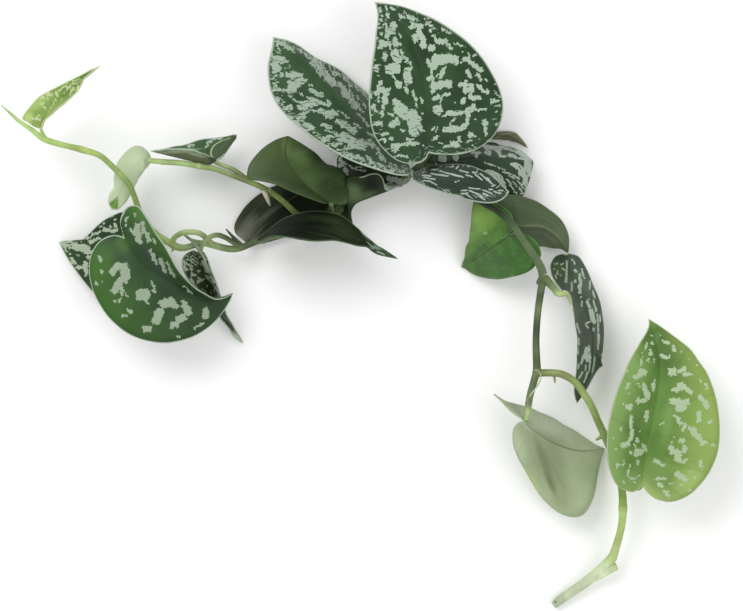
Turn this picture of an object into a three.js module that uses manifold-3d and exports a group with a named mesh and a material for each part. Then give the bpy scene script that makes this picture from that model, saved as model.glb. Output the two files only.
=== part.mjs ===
// Satin pothos, a cut and branched run of a trailing vine laid down on a table.
// Millimetres, +Z up. X runs along the spread of the vines, the table is z = 0 and the
// origin lies under the middle of the plant's box.
import * as THREE from 'three';
import { mergeVertices } from 'three/addons/utils/BufferGeometryUtils.js';
import Module from 'manifold-3d';

const wasm = await Module();
wasm.setup();

// Driving sizes
const bladeThickness = 0.7;
const pieceGap = 0.35; // clear space that a blade keeps to the petiole that carries it
const lobeLength = 0.09; // a lobe of 1 reaches this share of the blade length behind the base
const widestAt = 0.3; // share of the length up to which a half blade keeps its full width
const ribSlant = 1.7; // lateral veins leave the midrib early and run forward to the margin
const edgeStations = 14; // ribs from base to tip
const ribSteps = 3; // strips from midrib to margin
const stemSides = 8;
const ringsPerSpan = 1; // stem rings between two route points
const straightTurn = 1e-6; // radians per mm below which a half blade counts as not curled
const weldDistance = 0.001;
const middle = [-6.62, -0.56, 1.65]; // middle of the plant's box and its lowest point, in route places

// Leaf blades. midrib runs from base to tip. face is the way the silver side looks, spread
// from base to tip. The other values are [left, right], seen on the silver side with the tip
// ahead: halfWidth in mm, lobe in lobeLengths, skew (how far the widest part is drawn
// forward) and taper (narrowing past widestAt) as shares, fold lists from base to tip and
// curl in degrees.
const leaves = [
  {
    name: 'leaf_crown_front',
    color: 'dark',
    midrib: [
      [31.1, 82.6, 47],
      [30, 107.3, 52],
      [25.7, 129.4, 52],
      [16.5, 151.9, 47],
      [1.9, 164.8, 38],
    ],
    face: [[0, 0.15, 1], [0.1, 0.3, 1]],
    halfWidth: [35, 42],
    lobe: [0.8, 0.1],
    skew: [0, 0],
    taper: [0, 0.8],
    fold: [[25], [-5]],
    curl: [-10, -15],
  },
  {
    name: 'leaf_crown_left',
    color: 'dark',
    midrib: [
      [20.9, 74.2, 33],
      [-2.4, 95.9, 37],
      [-17.1, 111.6, 38],
      [-28.5, 124.2, 36],
      [-41.1, 136.3, 32],
      [-53.7, 146.4, 26],
    ],
    face: [[0.7, 0.7, 0.2], [0.6, 0.6, 0.5], [0.4, 0.45, 0.8], [0.3, 0.35, 0.85]],
    halfWidth: [38, 30],
    lobe: [0.2, 0.2],
    skew: [0.3, 0],
    taper: [-0.9, 0],
    fold: [[-12], [30, -14, -30]],
    curl: [-12, -12],
  },
  {
    name: 'leaf_crown_right',
    color: 'dark',
    midrib: [
      [35.1, 77.1, 28],
      [53.6, 80.3, 31],
      [69.9, 80.3, 31],
      [83.7, 78.8, 26],
      [88.4, 78, 15],
      [87.5, 75.5, 6],
    ],
    face: [[0.1, 0.35, 0.95], [0.9, 0.2, 0.5]],
    halfWidth: [30, 29],
    lobe: [0.6, 0.6],
    skew: [0, 0],
    taper: [0, -0.3],
    fold: [[-40], [-40]],
    curl: [-10, -10],
  },
  {
    name: 'leaf_crown_low',
    color: 'dark',
    midrib: [
      [21.9, 70.1, 46],
      [37, 67.3, 50],
      [53.3, 64.1, 51],
      [65.7, 61.4, 49],
      [74.5, 61.5, 46],
    ],
    face: [[0.1, 0.85, 0.5], [0.1, 0.85, 0.5]],
    halfWidth: [19, 14],
    lobe: [0.2, 0.2],
    skew: [0, 0.2],
    taper: [0, -0.2],
    fold: [[-5], [-5]],
    curl: [-10, -10],
  },
  {
    name: 'leaf_crown_back',
    color: 'olive',
    midrib: [
      [61.8, 92.6, 4],
      [68.4, 93.6, 4],
      [75, 93.1, 4],
      [81.6, 89.8, 4],
      [86, 86.5, 4],
    ],
    face: [[0, 0, -1], [0, 0, -1]],
    halfWidth: [5, 5],
    lobe: [0.5, 0.5],
    skew: [0, 0],
    taper: [0, 0],
    fold: [[15], [15]],
    curl: [0, 0],
  },
  {
    name: 'leaf_crown_hidden',
    color: 'pale',
    midrib: [
      [12.9, 77, 12],
      [0.3, 96.3, 7],
      [-11.8, 114, 4],
      [-19.5, 126.1, 3],
      [-25.6, 132.2, 2],
    ],
    face: [[0, 0, 1], [0, 0, 1]],
    halfWidth: [16, 8],
    lobe: [0.6, 0.6],
    skew: [0, 0],
    taper: [0, -0.6],
    fold: [[0], [0]],
    curl: [0, 0],
  },
  {
    name: 'leaf_crown_under',
    color: 'dark',
    midrib: [
      [15.6, 65.8, 22],
      [6.3, 62.5, 23],
      [-6.3, 58.2, 21],
      [-19.9, 53.8, 19],
      [-32.5, 51.1, 17],
    ],
    face: [[-0.3, 0.95, 0.1], [-0.3, 0.95, 0.1]],
    halfWidth: [19, 27],
    lobe: [0.3, 0.3],
    skew: [0, 0],
    taper: [0, 0],
    fold: [[40], [65]],
    curl: [0, 0],
  },
  {
    name: 'leaf_left_inner',
    color: 'olive',
    midrib: [
      [-23.7, 55.7, 34],
      [-34, 63.3, 35],
      [-42.7, 72.7, 31],
      [-47.2, 82.1, 24],
      [-45.7, 92.7, 16],
    ],
    face: [[0, -0.1, -1], [0, -0.1, -1]],
    halfWidth: [27, 29],
    lobe: [0, 0],
    skew: [0, 0],
    taper: [-0.7, -0.2],
    fold: [[10], [-85, -68, -30, 0]],
    curl: [0, 0],
  },
  {
    name: 'leaf_left_back',
    color: 'olivedark',
    midrib: [
      [-68.3, 34.3, 8],
      [-60, 45.8, 9],
      [-47.4, 56.2, 8],
      [-32.7, 65.6, 5],
    ],
    face: [[0, 0, -1], [0, 0, -1]],
    halfWidth: [9, 15],
    lobe: [0.1, 0.1],
    skew: [0, 0],
    taper: [0, 0],
    fold: [[20], [20]],
    curl: [0, 0],
  },
  {
    name: 'leaf_left_front',
    color: 'olivedark',
    midrib: [
      [-61.7, 36.1, 36],
      [-47, 47, 38],
      [-32.3, 50.8, 39],
      [-18.2, 49.1, 38],
      [-9, 42.7, 36],
      [0.8, 34, 34],
      [7.9, 29.6, 33],
      [14.4, 25.3, 33],
    ],
    face: [[0, -0.95, -0.3], [0, -0.95, -0.3], [0, -0.95, -0.3], [0, -0.9, -0.2], [0.3, 0.1, 0.9]],
    halfWidth: [28, 22],
    lobe: [0.1, 0.1],
    skew: [0, 0],
    taper: [1, 1],
    fold: [[-10, 5, 20, 30, 40], [30]],
    curl: [0, 0],
  },
  {
    name: 'leaf_fold',
    color: 'olive',
    midrib: [
      [-84.2, 79.3, 26],
      [-89.7, 77.1, 27],
      [-98.9, 79.3, 28],
      [-109.7, 81.9, 30],
      [-120, 84.1, 32],
    ],
    face: [[0.1, 0.98, -0.1], [0.1, 0.98, -0.1]],
    halfWidth: [13, 15],
    lobe: [0.8, 4.5],
    skew: [0, 0],
    taper: [0, 0],
    fold: [[20], [80, 30, 25]],
    curl: [0, 0],
  },
  {
    name: 'leaf_left_young',
    color: 'pale',
    midrib: [
      [-120.1, 79.2, 30],
      [-124.8, 79.7, 34],
      [-130.8, 73.7, 34],
      [-136.4, 62.9, 29],
      [-141.6, 52.1, 24],
    ],
    face: [[0, 0, -1], [0, 0, -1]],
    halfWidth: [8, 8],
    lobe: [0.5, 0.5],
    skew: [0, 0],
    taper: [-0.6, -0.6],
    fold: [[20], [20]],
    curl: [20, 20],
  },
  {
    name: 'leaf_tip_left',
    color: 'light',
    midrib: [
      [-179.4, 95.8, 39],
      [-176, 103.9, 42],
      [-167.2, 113, 44],
      [-156.3, 122.7, 44],
      [-147.2, 129.9, 42],
    ],
    face: [[-0.12, -0.3, 0.95], [-0.25, -0.3, 0.9]],
    halfWidth: [10, 8],
    lobe: [1.2, 0.6],
    skew: [0, 0],
    taper: [1.2, 0],
    fold: [[10], [60]],
    curl: [0, 0],
  },
  {
    name: 'leaf_low_left',
    color: 'dark',
    midrib: [
      [-134.1, 36.6, 44],
      [-129.2, 27.3, 46],
      [-122.1, 20.3, 46],
      [-109.2, 12.2, 44],
      [-94.2, 4.6, 40],
      [-82.3, 4.1, 36],
      [-75.3, 6.8, 34],
    ],
    face: [[0, 0, 1], [0, 0, 1]],
    halfWidth: [31, 33],
    lobe: [2.4, 0.7],
    skew: [0, 0.1],
    taper: [0, -0.5],
    fold: [[50, 72, 76, 72], [0]],
    curl: [0, -10],
  },
  {
    name: 'leaf_low_left_back',
    color: 'dark',
    midrib: [
      [-126.6, 32.5, 18],
      [-140.4, 34.8, 15],
      [-157, 35.9, 10],
      [-171.7, 34.9, 3],
    ],
    face: [[0, 0, 1], [0, 0, 1]],
    halfWidth: [34, 19],
    lobe: [0.8, 0.8],
    skew: [0, 0],
    taper: [-0.3, 1.9],
    fold: [[0], [0]],
    curl: [0, 0],
  },
  {
    name: 'leaf_low_small',
    color: 'dark',
    midrib: [
      [-95.3, 29.2, 22],
      [-93, 20.5, 24],
      [-87.7, 9, 20],
      [-80.3, -4.7, 11],
      [-70.6, -20.6, 3],
    ],
    face: [[0, 0, 1], [0, 0, 1]],
    halfWidth: [14, 15],
    lobe: [0.8, 0.3],
    skew: [0, 0],
    taper: [1.2, 1.6],
    fold: [[75], [35]],
    curl: [0, 0],
  },
  {
    name: 'leaf_right_lit',
    color: 'lit',
    midrib: [
      [73.2, 35.7, 31],
      [67.3, 31.9, 29],
      [59.3, 26.5, 17],
      [49.2, 20.6, 3],
    ],
    face: [[0, 0, -1], [0, 0, -1]],
    halfWidth: [25, 23],
    lobe: [3, 4.5],
    skew: [0, -0.2],
    taper: [1.4, 0],
    fold: [[0], [10]],
    curl: [0, 0],
  },
  {
    name: 'leaf_right_olive',
    color: 'olive',
    midrib: [
      [73.4, 46.1, 24.5],
      [81, 43.4, 25.5],
      [93.6, 42.9, 22.5],
      [102.5, 36.9, 17.5],
      [107.6, 28.8, 12],
    ],
    face: [[0, 0.2, -1], [0, 0.2, -1]],
    halfWidth: [28, 15],
    lobe: [1.4, 1.2],
    skew: [0, 0],
    taper: [0, 0],
    fold: [[50, 30], [25]],
    curl: [0, 0],
  },
  {
    name: 'leaf_right_hanging',
    color: 'dark',
    midrib: [
      [105, 23.7, 26],
      [109.6, 13.9, 32],
      [115, 3, 35],
      [119.3, -10.6, 36],
      [120.4, -21.5, 35],
      [119.6, -35.1, 29],
      [115.5, -46.1, 22],
      [112.4, -53.3, 16],
    ],
    face: [[-0.14, 0, 1], [-0.14, 0, 1]],
    halfWidth: [17, 22],
    lobe: [0.8, 0.8],
    skew: [0, 0],
    taper: [0, 0],
    fold: [[-50, -65, -80, -80], [-45, -60, -52, -35]],
    curl: [-10, -20],
  },
  {
    name: 'leaf_right_pale',
    color: 'paleolive',
    midrib: [
      [83.2, -63.2, 42],
      [89.8, -69.2, 40],
      [100.4, -75.4, 32],
      [114, -79.5, 18],
      [128.3, -78.8, 3],
    ],
    face: [[0, 0.1, -1], [0, -0.3, -1]],
    halfWidth: [38, 26],
    lobe: [0.3, 4.5],
    skew: [0.6, 0],
    taper: [0.5, 0],
    fold: [[50, 20, 0], [75, 50, 20]],
    curl: [0, 0],
  },
  {
    name: 'leaf_end',
    color: 'light',
    midrib: [
      [147, -98.1, 36],
      [149, -80, 40],
      [153.2, -60.5, 42],
      [156.7, -36.1, 38],
      [154.7, -19.8, 34],
      [151.2, -7.4, 28],
    ],
    face: [[0, 0.1, 1], [0, 0.2, 1]],
    halfWidth: [29, 38],
    lobe: [0.2, 0.9],
    skew: [0, 0],
    taper: [0, 0],
    fold: [[55, 40, 35], [5]],
    curl: [-20, -10],
  },
];

const leafColors = {
  dark: 0x35553a,
  olive: 0x4f5b35,
  olivedark: 0x2f3a28,
  pale: 0xb9c9a6,
  paleolive: 0xa3ad8c,
  light: 0x7d9a4e,
  lit: 0x4f8232,
};
const stemColor = 0x8fa863;

// Stems with their petioles: each route is a list of [x, y, z, radius].
const stems = {
  stem_crown: [
    [
      [30.8, 80.5, 22, 2],
      [23.2, 73.5, 18, 2.2],
      [14.5, 68.7, 15, 2.3],
      [5.7, 66, 14, 2.3],
      [-3, 62.7, 14, 2.2],
      [-11.8, 58.3, 14, 2.2],
      [-17.2, 53.4, 14, 2.2],
    ],
    [
      [29.8, 79.4, 22, 1.7],
      [31.8, 84.6, 34, 1.5],
      [31.7, 83.1, 47.5, 1.4],
    ],
    [
      [18.3, 70.8, 16, 1.7],
      [17.7, 70.7, 24, 1.5],
      [20.4, 73.8, 31, 1.4],
    ],
    [
      [28.7, 78.4, 20, 1.7],
      [31.9, 77.2, 24, 1.5],
      [34.1, 77.1, 27, 1.4],
    ],
    [
      [22.1, 73, 18, 1.7],
      [17.7, 69.3, 34, 1.5],
      [20.9, 70.2, 44, 1.4],
    ],
    [
      [30.9, 80.6, 21, 1.6],
      [38.1, 89, 13, 1.4],
      [45.8, 95.7, 8, 1.3],
      [54.1, 97.5, 5, 1.2],
      [61.8, 92.6, 4, 1.1],
    ],
    [
      [14.5, 69.2, 15, 1.6],
      [14, 73.1, 14, 1.4],
      [12.9, 77, 12, 1.2],
    ],
    [
      [11.2, 67.6, 14, 1.7],
      [14.5, 64.3, 17, 1.5],
      [15.6, 65.3, 21, 1.4],
    ],
    [
      [-15.1, 55.6, 14, 1.7],
      [-18.3, 50, 22, 1.5],
      [-22, 53.6, 34, 1.4],
    ],
  ],
  stem_upper_left: [
    [
      [-17.2, 53.4, 14, 2],
      [-24.9, 47.4, 14, 1.8],
      [-33.1, 46.2, 16, 1.7],
      [-40.7, 50, 18, 1.6],
      [-47.2, 56, 21, 1.6],
      [-52.7, 60.3, 24, 1.6],
      [-56.5, 62.5, 25, 1.8],
      [-62.4, 65.7, 27, 1.6],
      [-74.9, 70.5, 29, 1.5],
      [-85.2, 74.3, 29, 1.5],
      [-94, 76, 29, 1.6],
      [-103.8, 77.6, 29, 1.6],
      [-113, 78.2, 29, 1.6],
      [-119.5, 78.7, 30, 1.5],
    ],
    [
      [-66.2, 67.9, 27, 1.3],
      [-74.9, 73.8, 28, 1.3],
      [-81.5, 76.6, 27, 1.2],
      [-85.3, 78.2, 26, 1.1],
    ],
    [
      [-57.5, 62.4, 26, 1.3],
      [-56.4, 58.6, 27, 1.2],
      [-55.3, 54.2, 27, 0.5],
    ],
  ],
  stem_lower_left: [
    [
      [-24.9, 47.4, 14, 1.8],
      [-39.1, 40.8, 15, 1.8],
      [-55.5, 37.5, 16, 1.8],
      [-66.5, 33.6, 16, 1.8],
      [-71.4, 31.5, 16, 1.8],
      [-76.8, 30.9, 17, 1.9],
      [-82.8, 32, 18, 1.9],
      [-86.6, 33.1, 19, 2],
      [-92.6, 34.1, 21, 1.7],
      [-98, 32.5, 23, 1.7],
      [-102.3, 31.4, 24, 1.9],
      [-106.1, 31.9, 25, 2],
      [-109.9, 34.1, 26, 2],
      [-115.3, 37.3, 27, 1.8],
      [-120.6, 42.2, 30, 1.7],
      [-125.4, 49.2, 32, 1.6],
      [-127.6, 55.2, 33, 1.6],
      [-129.6, 61.1, 36, 1.6],
      [-132.2, 66.5, 38, 1.6],
      [-137.1, 71.9, 39, 1.6],
      [-142, 76.8, 39, 1.6],
      [-148, 81.7, 38, 1.6],
      [-157.3, 84.7, 37, 1.8],
      [-165.5, 86.7, 36, 1.6],
      [-173.7, 88.9, 35, 1.7],
      [-179.2, 91.1, 34, 1.7],
      [-184.7, 95.5, 33, 1.4],
      [-191.9, 100.4, 31, 1.1],
      [-196.8, 104.8, 30, 0.8],
      [-201.8, 109.2, 29, 0.3],
    ],
    [
      [-66.5, 33.6, 16, 1.4],
      [-68.2, 34.2, 12, 1.2],
      [-67.7, 35.4, 8, 1],
    ],
    [
      [-108.8, 34.1, 26, 1.6],
      [-107, 37.3, 29, 1.5],
      [-103.1, 39.5, 31, 1.5],
      [-98.8, 40, 32, 1.5],
      [-94.4, 39.5, 31, 1.5],
      [-91.3, 37.9, 28, 1.5],
      [-88.7, 35.2, 24, 1.5],
      [-86.6, 33.6, 20, 1.5],
    ],
    [
      [-71.9, 32, 16, 1.5],
      [-76.7, 35.2, 21, 1.4],
      [-80.4, 37.4, 25, 1.4],
      [-84.2, 38.4, 27, 1.4],
      [-88, 37.3, 28, 1.4],
      [-91.3, 34.6, 27, 1.3],
      [-93, 30.8, 24, 1.2],
      [-93.1, 28.1, 22, 1.1],
    ],
    [
      [-175.9, 89.4, 34, 1.3],
      [-178, 92.1, 36, 1.1],
      [-179.4, 95.3, 39, 0.9],
    ],
    [
      [-70.8, 32.6, 16, 1.4],
      [-75.2, 36.9, 18, 1],
      [-79.5, 41.8, 20, 0.3],
    ],
    [
      [-107.7, 32.5, 25, 1],
      [-108.8, 29.2, 25, 0.4],
    ],
    [
      [-126, 46.5, 31, 1.4],
      [-130.6, 41.5, 38, 1.3],
      [-134.2, 37.1, 43, 1.2],
    ],
    [
      [-115.3, 37.3, 27, 1.4],
      [-117.1, 36.9, 22, 1.3],
      [-120.5, 35.3, 18.5, 1.2],
      [-124.9, 33.1, 18, 1.1],
    ],
    [
      [-91.5, 34.1, 21, 1.3],
      [-98, 35.7, 23, 0.9],
      [-102.3, 38.5, 25, 0.4],
    ],
  ],
  stem_right: [
    [
      [22.1, 73, 18, 2.2],
      [29.2, 67.9, 26, 2.1],
      [37.8, 64.5, 32, 2],
      [49.7, 61.1, 36, 2],
      [62.7, 54.6, 39, 1.9],
      [69.2, 50.7, 40, 1.9],
      [75.7, 44.8, 41, 1.9],
      [80, 38.8, 41, 1.9],
      [84.4, 32.3, 40, 2],
      [88.8, 26.3, 38, 2.1],
      [92.1, 20.4, 36, 2.3],
      [93.2, 15.5, 35, 2.4],
      [92.7, 11.7, 34, 2.1],
      [90.6, -3, 31, 1.9],
      [89.6, -18.8, 30, 1.9],
      [90.1, -35.7, 31, 2.2],
    ],
    [
      [92.1, 16, 35, 1.8],
      [96, 11.2, 33, 1.7],
      [101, 8.4, 30, 1.6],
      [105.5, 7.9, 27, 1.5],
      [108.3, 5.7, 23, 1.3],
    ],
    [
      [91.6, 14.4, 34, 1.3],
      [90, 11.7, 34, 0.8],
    ],
    [
      [80, 38.8, 40, 1.4],
      [76.3, 37.8, 37, 1.3],
      [73.7, 36.2, 34, 1.1],
    ],
    [
      [75.7, 44.8, 41, 1.4],
      [79.1, 45.4, 36, 1.3],
      [79.8, 46, 30, 1.2],
      [77.7, 46.1, 27, 1.2],
      [73.9, 46.1, 24.5, 1.1],
    ],
    [
      [90.1, -35.7, 31, 2.2],
      [88.4, -41.1, 33, 1.7],
      [86.1, -48.6, 37, 1.6],
      [84.9, -55.6, 40, 1.5],
      [83.2, -62.6, 42, 1.3],
    ],
    [
      [90.1, -36.7, 31, 2.1],
      [99.2, -36.7, 34, 2],
      [104.6, -37.8, 35, 2],
      [110.6, -41.6, 36, 2],
      [115.5, -48.1, 36, 2],
      [119.9, -55.2, 35, 2],
      [123.2, -62.8, 32, 2],
      [126.7, -70, 28, 2.1],
      [130.8, -79.4, 22, 2.1],
      [134.8, -91, 18, 2.1],
      [137, -100.9, 17, 2.1],
      [137.5, -110.7, 17, 2.3],
      [137, -118.9, 17, 2.1],
      [135.4, -126.6, 16, 2.1],
      [133.3, -133.8, 14, 2.1],
      [131.2, -139.4, 12, 2.2],
    ],
    [
      [131.2, -138.9, 12, 2.4],
      [133.4, -141.7, 11, 2.9],
      [126.4, -146.7, 9, 2.8],
      [116.1, -152.8, 7, 2.9],
      [105.1, -160.6, 5, 2.7],
      [100.2, -164.5, 4, 2.2],
    ],
    [
      [131.3, -82.2, 22, 1.5],
      [138.2, -95.1, 26, 1.4],
      [144.4, -99.3, 33, 1.3],
      [146.4, -98.6, 36, 1.1],
    ],
    [
      [99.2, -36.7, 34, 1],
      [99.8, -42.1, 34, 0.4],
    ],
    [
      [126.1, -71.1, 28, 1.2],
      [122.3, -73.3, 28, 0.6],
    ],
  ],
};
const degrees = Math.PI / 180;
const vector = (xyz) => new THREE.Vector3(...xyz);

// Half of a flat blade: [share of the length, share of the half width], from the base round
// the lobe to the drawn-out tip.
const halfBlade = new THREE.SplineCurve([
  [0, 0],
  [-0.5, 0.12],
  [-1, 0.36],
  [-0.62, 0.64],
  [0.05, 0.87],
  [0.19, 0.99],
  [0.35, 0.99],
  [0.51, 0.88],
  [0.66, 0.69],
  [0.79, 0.47],
  [0.89, 0.26],
  [0.955, 0.09],
  [1, 0],
].map(([along, across]) => new THREE.Vector2(along, across)));

// The two entries of a list that a share of its length lies between, and how far between.
function between(values, share) {
  const reach = share * (values.length - 1);
  const first = Math.min(Math.floor(reach), Math.max(values.length - 2, 0));
  const second = Math.min(first + 1, values.length - 1);
  return [values[first], values[second], reach - first];
}

// The flat blade is laid along its midrib: each half is folded up by its fold angle and
// goes on turning by its curl angle towards the margin.
function bladeShape(leaf) {
  const rib = new THREE.CatmullRomCurve3(leaf.midrib.map(vector), false, 'catmullrom');
  const ribLength = rib.getLength();
  const faces = leaf.face.map(vector);
  return {
    ribLength,
    point(along, across, side) {
      const share = THREE.MathUtils.clamp(along / ribLength, 0, 1);
      const tangent = rib.getTangentAt(share);
      const [faceBefore, faceAfter, faceShare] = between(faces, share);
      const up = faceBefore.clone().lerp(faceAfter, faceShare);
      up.addScaledVector(tangent, -up.dot(tangent)).normalize();
      const left = up.clone().cross(tangent);
      const fold = THREE.MathUtils.lerp(...between(leaf.fold[side], share)) * degrees;
      const turn = (leaf.curl[side] * degrees) / leaf.halfWidth[side];
      const end = fold + turn * across;
      let reach = across * Math.cos(fold);
      let rise = across * Math.sin(fold);
      if (Math.abs(turn) > straightTurn) {
        reach = (Math.sin(end) - Math.sin(fold)) / turn;
        rise = (Math.cos(fold) - Math.cos(end)) / turn;
      }
      const place = rib.getPointAt(share);
      place.addScaledVector(tangent, Math.min(along, 0));
      place.addScaledVector(left, side === 0 ? reach : -reach);
      return place.addScaledVector(up, rise);
    },
  };
}

// Points of one rib from the midrib (first) to the margin (last).
function ribPoints(leaf, shape, station, side) {
  const step = station / edgeStations;
  const edge = halfBlade.getPoint(step);
  const reach = edge.x < 0 ? edge.x * lobeLength * leaf.lobe[side] : edge.x;
  const forward = leaf.skew[side] * edge.y ** 2 * (1 - Math.max(edge.x, 0));
  const edgeAlong = shape.ribLength * (reach + forward);
  const rootAlong = shape.ribLength * step ** ribSlant;
  const beyond = Math.max(edge.x - widestAt, 0);
  const halfWidth = leaf.halfWidth[side] * (1 - leaf.taper[side] * beyond);
  const points = [];
  for (let i = 0; i <= ribSteps; i += 1) {
    const share = i / ribSteps;
    const along = THREE.MathUtils.lerp(rootAlong, edgeAlong, share);
    points.push(shape.point(along, halfWidth * edge.y * share, side));
  }
  return points;
}

// One sheet of the blade with its vertex normals and the ring of its margin. Both halves
// share the midrib, and all points of the first and of the last rib fall together.
function bladeSheet(leaf) {
  const shape = bladeShape(leaf);
  const points = [];
  const faces = [];
  const index = new Map();
  const indexOf = (side, station, step) => {
    const isEnd = station === 0 || station === edgeStations;
    const row = isEnd ? 0 : step;
    const key = row === 0 ? `rib.${station}` : `${side}.${station}.${step}`;
    if (!index.has(key)) {
      index.set(key, points.length);
      points.push(ribPoints(leaf, shape, station, side)[row]);
    }
    return index.get(key);
  };
  const addFace = (side, a, b, c) => {
    if (a === b || b === c || a === c) return;
    faces.push(side === 0 ? [a, c, b] : [a, b, c]);
  };
  for (let side = 0; side < 2; side += 1) {
    for (let station = 0; station < edgeStations; station += 1) {
      for (let step = 0; step < ribSteps; step += 1) {
        const a = indexOf(side, station, step);
        const b = indexOf(side, station, step + 1);
        const c = indexOf(side, station + 1, step + 1);
        const d = indexOf(side, station + 1, step);
        addFace(side, a, b, c);
        addFace(side, a, c, d);
      }
    }
  }
  const margin = [];
  for (let station = 0; station <= edgeStations; station += 1) {
    margin.push(indexOf(1, station, ribSteps));
  }
  for (let station = edgeStations - 1; station > 0; station -= 1) {
    margin.push(indexOf(0, station, ribSteps));
  }
  const normals = points.map(() => new THREE.Vector3());
  faces.forEach(([a, b, c]) => {
    const normal = points[b].clone().sub(points[a]).cross(points[c].clone().sub(points[a]));
    [a, b, c].forEach((corner) => normals[corner].add(normal));
  });
  normals.forEach((normal) => normal.normalize());
  return { points, faces, normals, margin };
}

function meshGeometry(positions, triangles) {
  const geometry = new THREE.BufferGeometry();
  geometry.setAttribute('position', new THREE.Float32BufferAttribute(positions, 3));
  geometry.setIndex(triangles);
  return geometry;
}

// Closed blade: the sheet on both faces and a narrow rim; grow widens it all round.
function bladeGeometry(leaf, thickness, grow = 0) {
  const { points, faces, normals, margin } = bladeSheet(leaf);
  const outer = points.map((point) => point.clone());
  margin.forEach((corner, i) => {
    const before = points[margin[(i + margin.length - 1) % margin.length]];
    const after = points[margin[(i + 1) % margin.length]];
    const outward = after.clone().sub(before).cross(normals[corner]).normalize();
    outer[corner].addScaledVector(outward, grow);
  });
  const shift = thickness / 2;
  const top = outer.map((point, i) => point.clone().addScaledVector(normals[i], shift));
  const bottom = outer.map((point, i) => point.clone().addScaledVector(normals[i], -shift));
  const count = points.length;
  const triangles = [];
  faces.forEach(([a, b, c]) => {
    triangles.push(a, b, c);
    triangles.push(a + count, c + count, b + count);
  });
  margin.forEach((a, i) => {
    const b = margin[(i + 1) % margin.length];
    triangles.push(b, a, a + count);
    triangles.push(b, a + count, b + count);
  });
  return meshGeometry([...top, ...bottom].flatMap((point) => point.toArray()), triangles);
}

// Closed tapering stem along a route of [x, y, z, radius].
function stemGeometry(route) {
  const places = route.map(([x, y, z]) => new THREE.Vector3(x, y, z));
  const radii = route.map(([, , , radius]) => radius);
  const line = new THREE.CatmullRomCurve3(places, false, 'catmullrom');
  const rings = (route.length - 1) * ringsPerSpan;
  const positions = [];
  const side = new THREE.Vector3(0, 0, 1);
  for (let ring = 0; ring <= rings; ring += 1) {
    const share = ring / rings;
    const place = line.getPoint(share);
    const tangent = line.getTangent(share);
    side.addScaledVector(tangent, -side.dot(tangent)).normalize();
    const across = tangent.clone().cross(side);
    const radius = THREE.MathUtils.lerp(...between(radii, share));
    for (let i = 0; i < stemSides; i += 1) {
      const angle = (2 * Math.PI * i) / stemSides;
      const point = place.clone().addScaledVector(side, radius * Math.cos(angle));
      positions.push(...point.addScaledVector(across, radius * Math.sin(angle)).toArray());
    }
  }
  const triangles = [];
  for (let ring = 0; ring < rings; ring += 1) {
    for (let i = 0; i < stemSides; i += 1) {
      const a = ring * stemSides + i;
      const b = ring * stemSides + ((i + 1) % stemSides);
      triangles.push(a, b, b + stemSides, a, b + stemSides, a + stemSides);
    }
  }
  const start = positions.length / 3;
  const last = rings * stemSides;
  positions.push(...line.getPoint(0).toArray(), ...line.getPoint(1).toArray());
  for (let i = 0; i < stemSides; i += 1) {
    const next = (i + 1) % stemSides;
    triangles.push(start, next, i, start + 1, last + i, last + next);
  }
  return meshGeometry(positions, triangles);
}

function toSolid(geometry) {
  const welded = mergeVertices(geometry, weldDistance);
  return new wasm.Manifold(new wasm.Mesh({
    numProp: 3,
    vertProperties: new Float32Array(welded.attributes.position.array),
    triVerts: new Uint32Array(welded.index.array),
  }));
}

// All routes of a stem as one solid, each radius made larger by grow.
function joinedStem(routes, grow) {
  const wider = routes.map((route) => route.map(([x, y, z, radius]) => [x, y, z, radius + grow]));
  return wider.map((route) => toSolid(stemGeometry(route))).reduce((a, b) => a.add(b));
}

const plant = new THREE.Group();
plant.name = 'satin_pothos';

function addNode(name, geometry, color) {
  geometry.translate(-middle[0], -middle[1], -middle[2]);
  const material = new THREE.MeshStandardMaterial({ color, roughness: 0.55, metalness: 0 });
  const mesh = new THREE.Mesh(geometry, material);
  mesh.name = name;
  plant.add(mesh);
}

leaves.forEach((leaf) => {
  addNode(leaf.name, bladeGeometry(leaf, bladeThickness), leafColors[leaf.color]);
});

// Each stem is joined from its routes, then cleared of the blades and of the stems before
// it. Chips that this leaves on the far side of a blade are dropped.
const clearance = leaves.map((leaf) => {
  return toSolid(bladeGeometry(leaf, bladeThickness + 2 * pieceGap, pieceGap));
});
const earlierStems = [];
Object.entries(stems).forEach(([name, routes]) => {
  let solid = joinedStem(routes, 0);
  [...clearance, ...earlierStems].forEach((other) => {
    solid = solid.subtract(other);
  });
  const [largest] = solid.decompose().sort((a, b) => b.volume() - a.volume());
  const { vertProperties, triVerts } = largest.getMesh();
  addNode(name, meshGeometry(Array.from(vertProperties), Array.from(triVerts)), stemColor);
  earlierStems.push(joinedStem(routes, pieceGap));
});

export default plant;
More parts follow.
